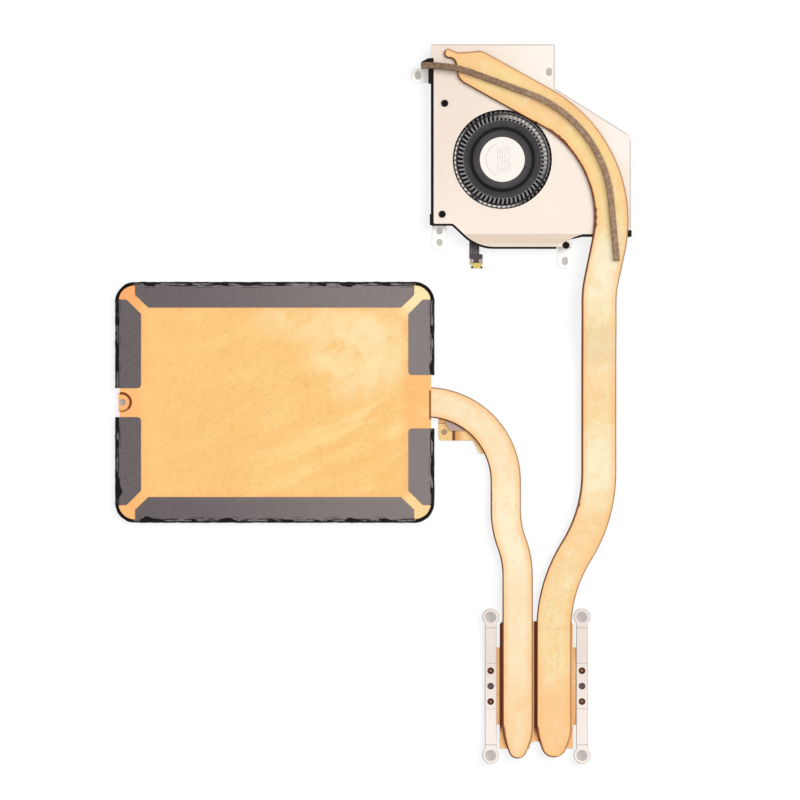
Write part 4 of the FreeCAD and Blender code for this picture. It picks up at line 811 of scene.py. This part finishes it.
def porous_foam(name, node):
    """The foam strip with its cut, open-celled surface."""
    piece = from_node(name, node)
    applied(piece, "REMESH", mode="VOXEL", voxel_size=0.3 * MM, use_smooth_shade=True)
    roughened(piece, "cells", 0.55, 0.16, 0.5)
    alone(piece)
    bpy.ops.object.shade_smooth()
    dressed(piece, node)


slots = {row["node"]: row["material_slot"] for row in frame["record"]["subparts"]}
for node, piece in frame["nodes"].items():
    piece.data.materials.clear()
    piece.data.materials.append(finishes[slots[node]])

softened("spreader", "spreader_plate", 0.06)
flat_pipe("left_pipe", "heat_pipe_left")
flat_pipe("right_pipe", "heat_pipe_right")
softened("long_plate", "cold_plate", 0.08)
softened("wing_plate", "mounting_plate", 0.08)
softened("left_spring", "spring_arm_left", 0.09)
softened("right_spring", "spring_arm_right", 0.09)
softened("rivet_heads", "arm_rivets", 0.04)
softened("bracket", "pipe_bracket", 0.06, finish=bracket_finish())
softened("housing_base", "fan_base_plate", 0.14)
softened("housing_frame", "fan_frame", 0.08)
softened("housing_cover", "fan_cover", 0.13)
softened("small_screws", "cover_screws", 0.04)
softened("blade_wheel", "impeller", 0.0, 40, "rotor")
softened("round_label", "hub_label", 0.02, 40, "rotor")
creased_film("upper_film", "edge_film_upper")
creased_film("lower_film", "edge_film_lower")
porous_foam("foam_seal", "foam_strip")


def white_room():
    """A white backdrop for the camera and for reflections, and a softer fill for the rest."""
    world = bpy.data.worlds.new("white_room")
    scene.world = world
    world.use_nodes = True
    tree = world.node_tree
    path = tree.nodes.new("ShaderNodeLightPath")
    seen = path.outputs["Is Camera Ray"]
    for ray in ("Is Glossy Ray", "Is Transmission Ray"):
        either = tree.nodes.new("ShaderNodeMath")
        either.operation = "MAXIMUM"
        tree.links.new(seen, either.inputs[0])
        tree.links.new(path.outputs[ray], either.inputs[1])
        seen = either.outputs[0]
    level = tree.nodes.new("ShaderNodeMapRange")
    tree.links.new(seen, level.inputs["Value"])
    level.inputs["To Min"].default_value = fill_light
    level.inputs["To Max"].default_value = 1.0
    background = tree.nodes["Background"]
    background.inputs["Color"].default_value = grey(1)
    tree.links.new(level.outputs[0], background.inputs["Strength"])


def window_light():
    """One wide soft lamp from the upper right, as from a window."""
    lamp = bpy.data.lights.new("window", "SUN")
    lamp.energy = lamp_light
    lamp.angle = math.radians(lamp_width)
    window = bpy.data.objects.new("window", lamp)
    scene.collection.objects.link(window)
    window.visible_glossy = False
    turn = math.radians(lamp_direction)
    lean = math.radians(lamp_lean)
    towards = Vector((math.cos(turn) * math.sin(lean), math.sin(turn) * math.sin(lean), math.cos(lean)))
    window.rotation_euler = towards.to_track_quat("Z", "Y").to_euler()


def white_floor():
    """The table: white to the camera, with a faint shadow of what lies on it."""
    bpy.ops.object.select_all(action="DESELECT")
    bpy.ops.mesh.primitive_plane_add(size=6.0, location=(0, 0, -0.05 * MM))
    floor = bpy.context.object
    floor.name = "table"
    finish = Finish("table_white", 0.0, 0.9, Specular_IOR_Level=0.0)
    seen = finish.node("ShaderNodeLightPath")
    finish.feed("Base Color", finish.mix(seen, grey(table_lit), grey(table_seen)))
    finish.feed("Emission Color", finish.mix(seen, grey(0), grey(1)))
    finish.feed("Emission Strength", table_glow)
    floor.data.materials.append(finish.material)


def shade_under_holes():
    """Painted shade: grey patches on the table under the small holes, where the holes show shade, by their
    colour, place and radius.
    """
    eyes = [(side * arm_across, end * eye_along, 2.0) for end in (1, -1) for side in (-1, 1)]
    fan_slots = [
        (-38.45, 198.65, 2.0), (4.1, 199.6, 2.0), (9.26, 138.25, 2.0),
        (-31.5, 148.0, 1.8), (-31.5, 144.3, 1.8),
    ]
    patches = {
        (204, 198, 193): eyes + fan_slots,
        (112, 97, 97): [(side * arm_across, 0, 1.6) for side in (-1, 1)],
        (200, 186, 180): [(-134.55, 92.3, 1.3)],
        (178, 148, 124): [(-30.0, 82.6, 1.2)],
    }
    for colour, spots in patches.items():
        finish = Finish("painted_hole_shade", 0.0, 0.9, Specular_IOR_Level=0.0)
        cloud = finish.noise(1.5, 2, 0.5)
        finish.feed("Base Color", finish.mix(0.55 + 0.1 * cloud, shade(*colour), grey(0)))
        finish.feed("Emission Color", finish.mix(0.35 + 0.1 * cloud, shade(*colour), grey(0)))
        finish.feed("Emission Strength", 1.0)
        for x, y, radius in spots:
            bpy.ops.object.select_all(action="DESELECT")
            bpy.ops.mesh.primitive_circle_add(
                vertices=32, radius=radius * MM, fill_type="NGON", location=(x * MM, y * MM, -0.03 * MM),
            )
            patch = bpy.context.object
            patch.name = "painted_hole_shade"
            patch.data.materials.append(finish.material)


def camera_above():
    """The camera of the photograph, straight above the module."""
    camera = bpy.data.cameras.new("camera")
    camera.sensor_width = 36
    camera.lens = camera.sensor_width * camera_height / picture_width
    camera.clip_end = 20
    above = bpy.data.objects.new("camera", camera)
    scene.collection.objects.link(above)
    above.location = (*picture_middle, camera_height + spreader_top)
    scene.camera = above


white_room()
window_light()
white_floor()
shade_under_holes()
camera_above()
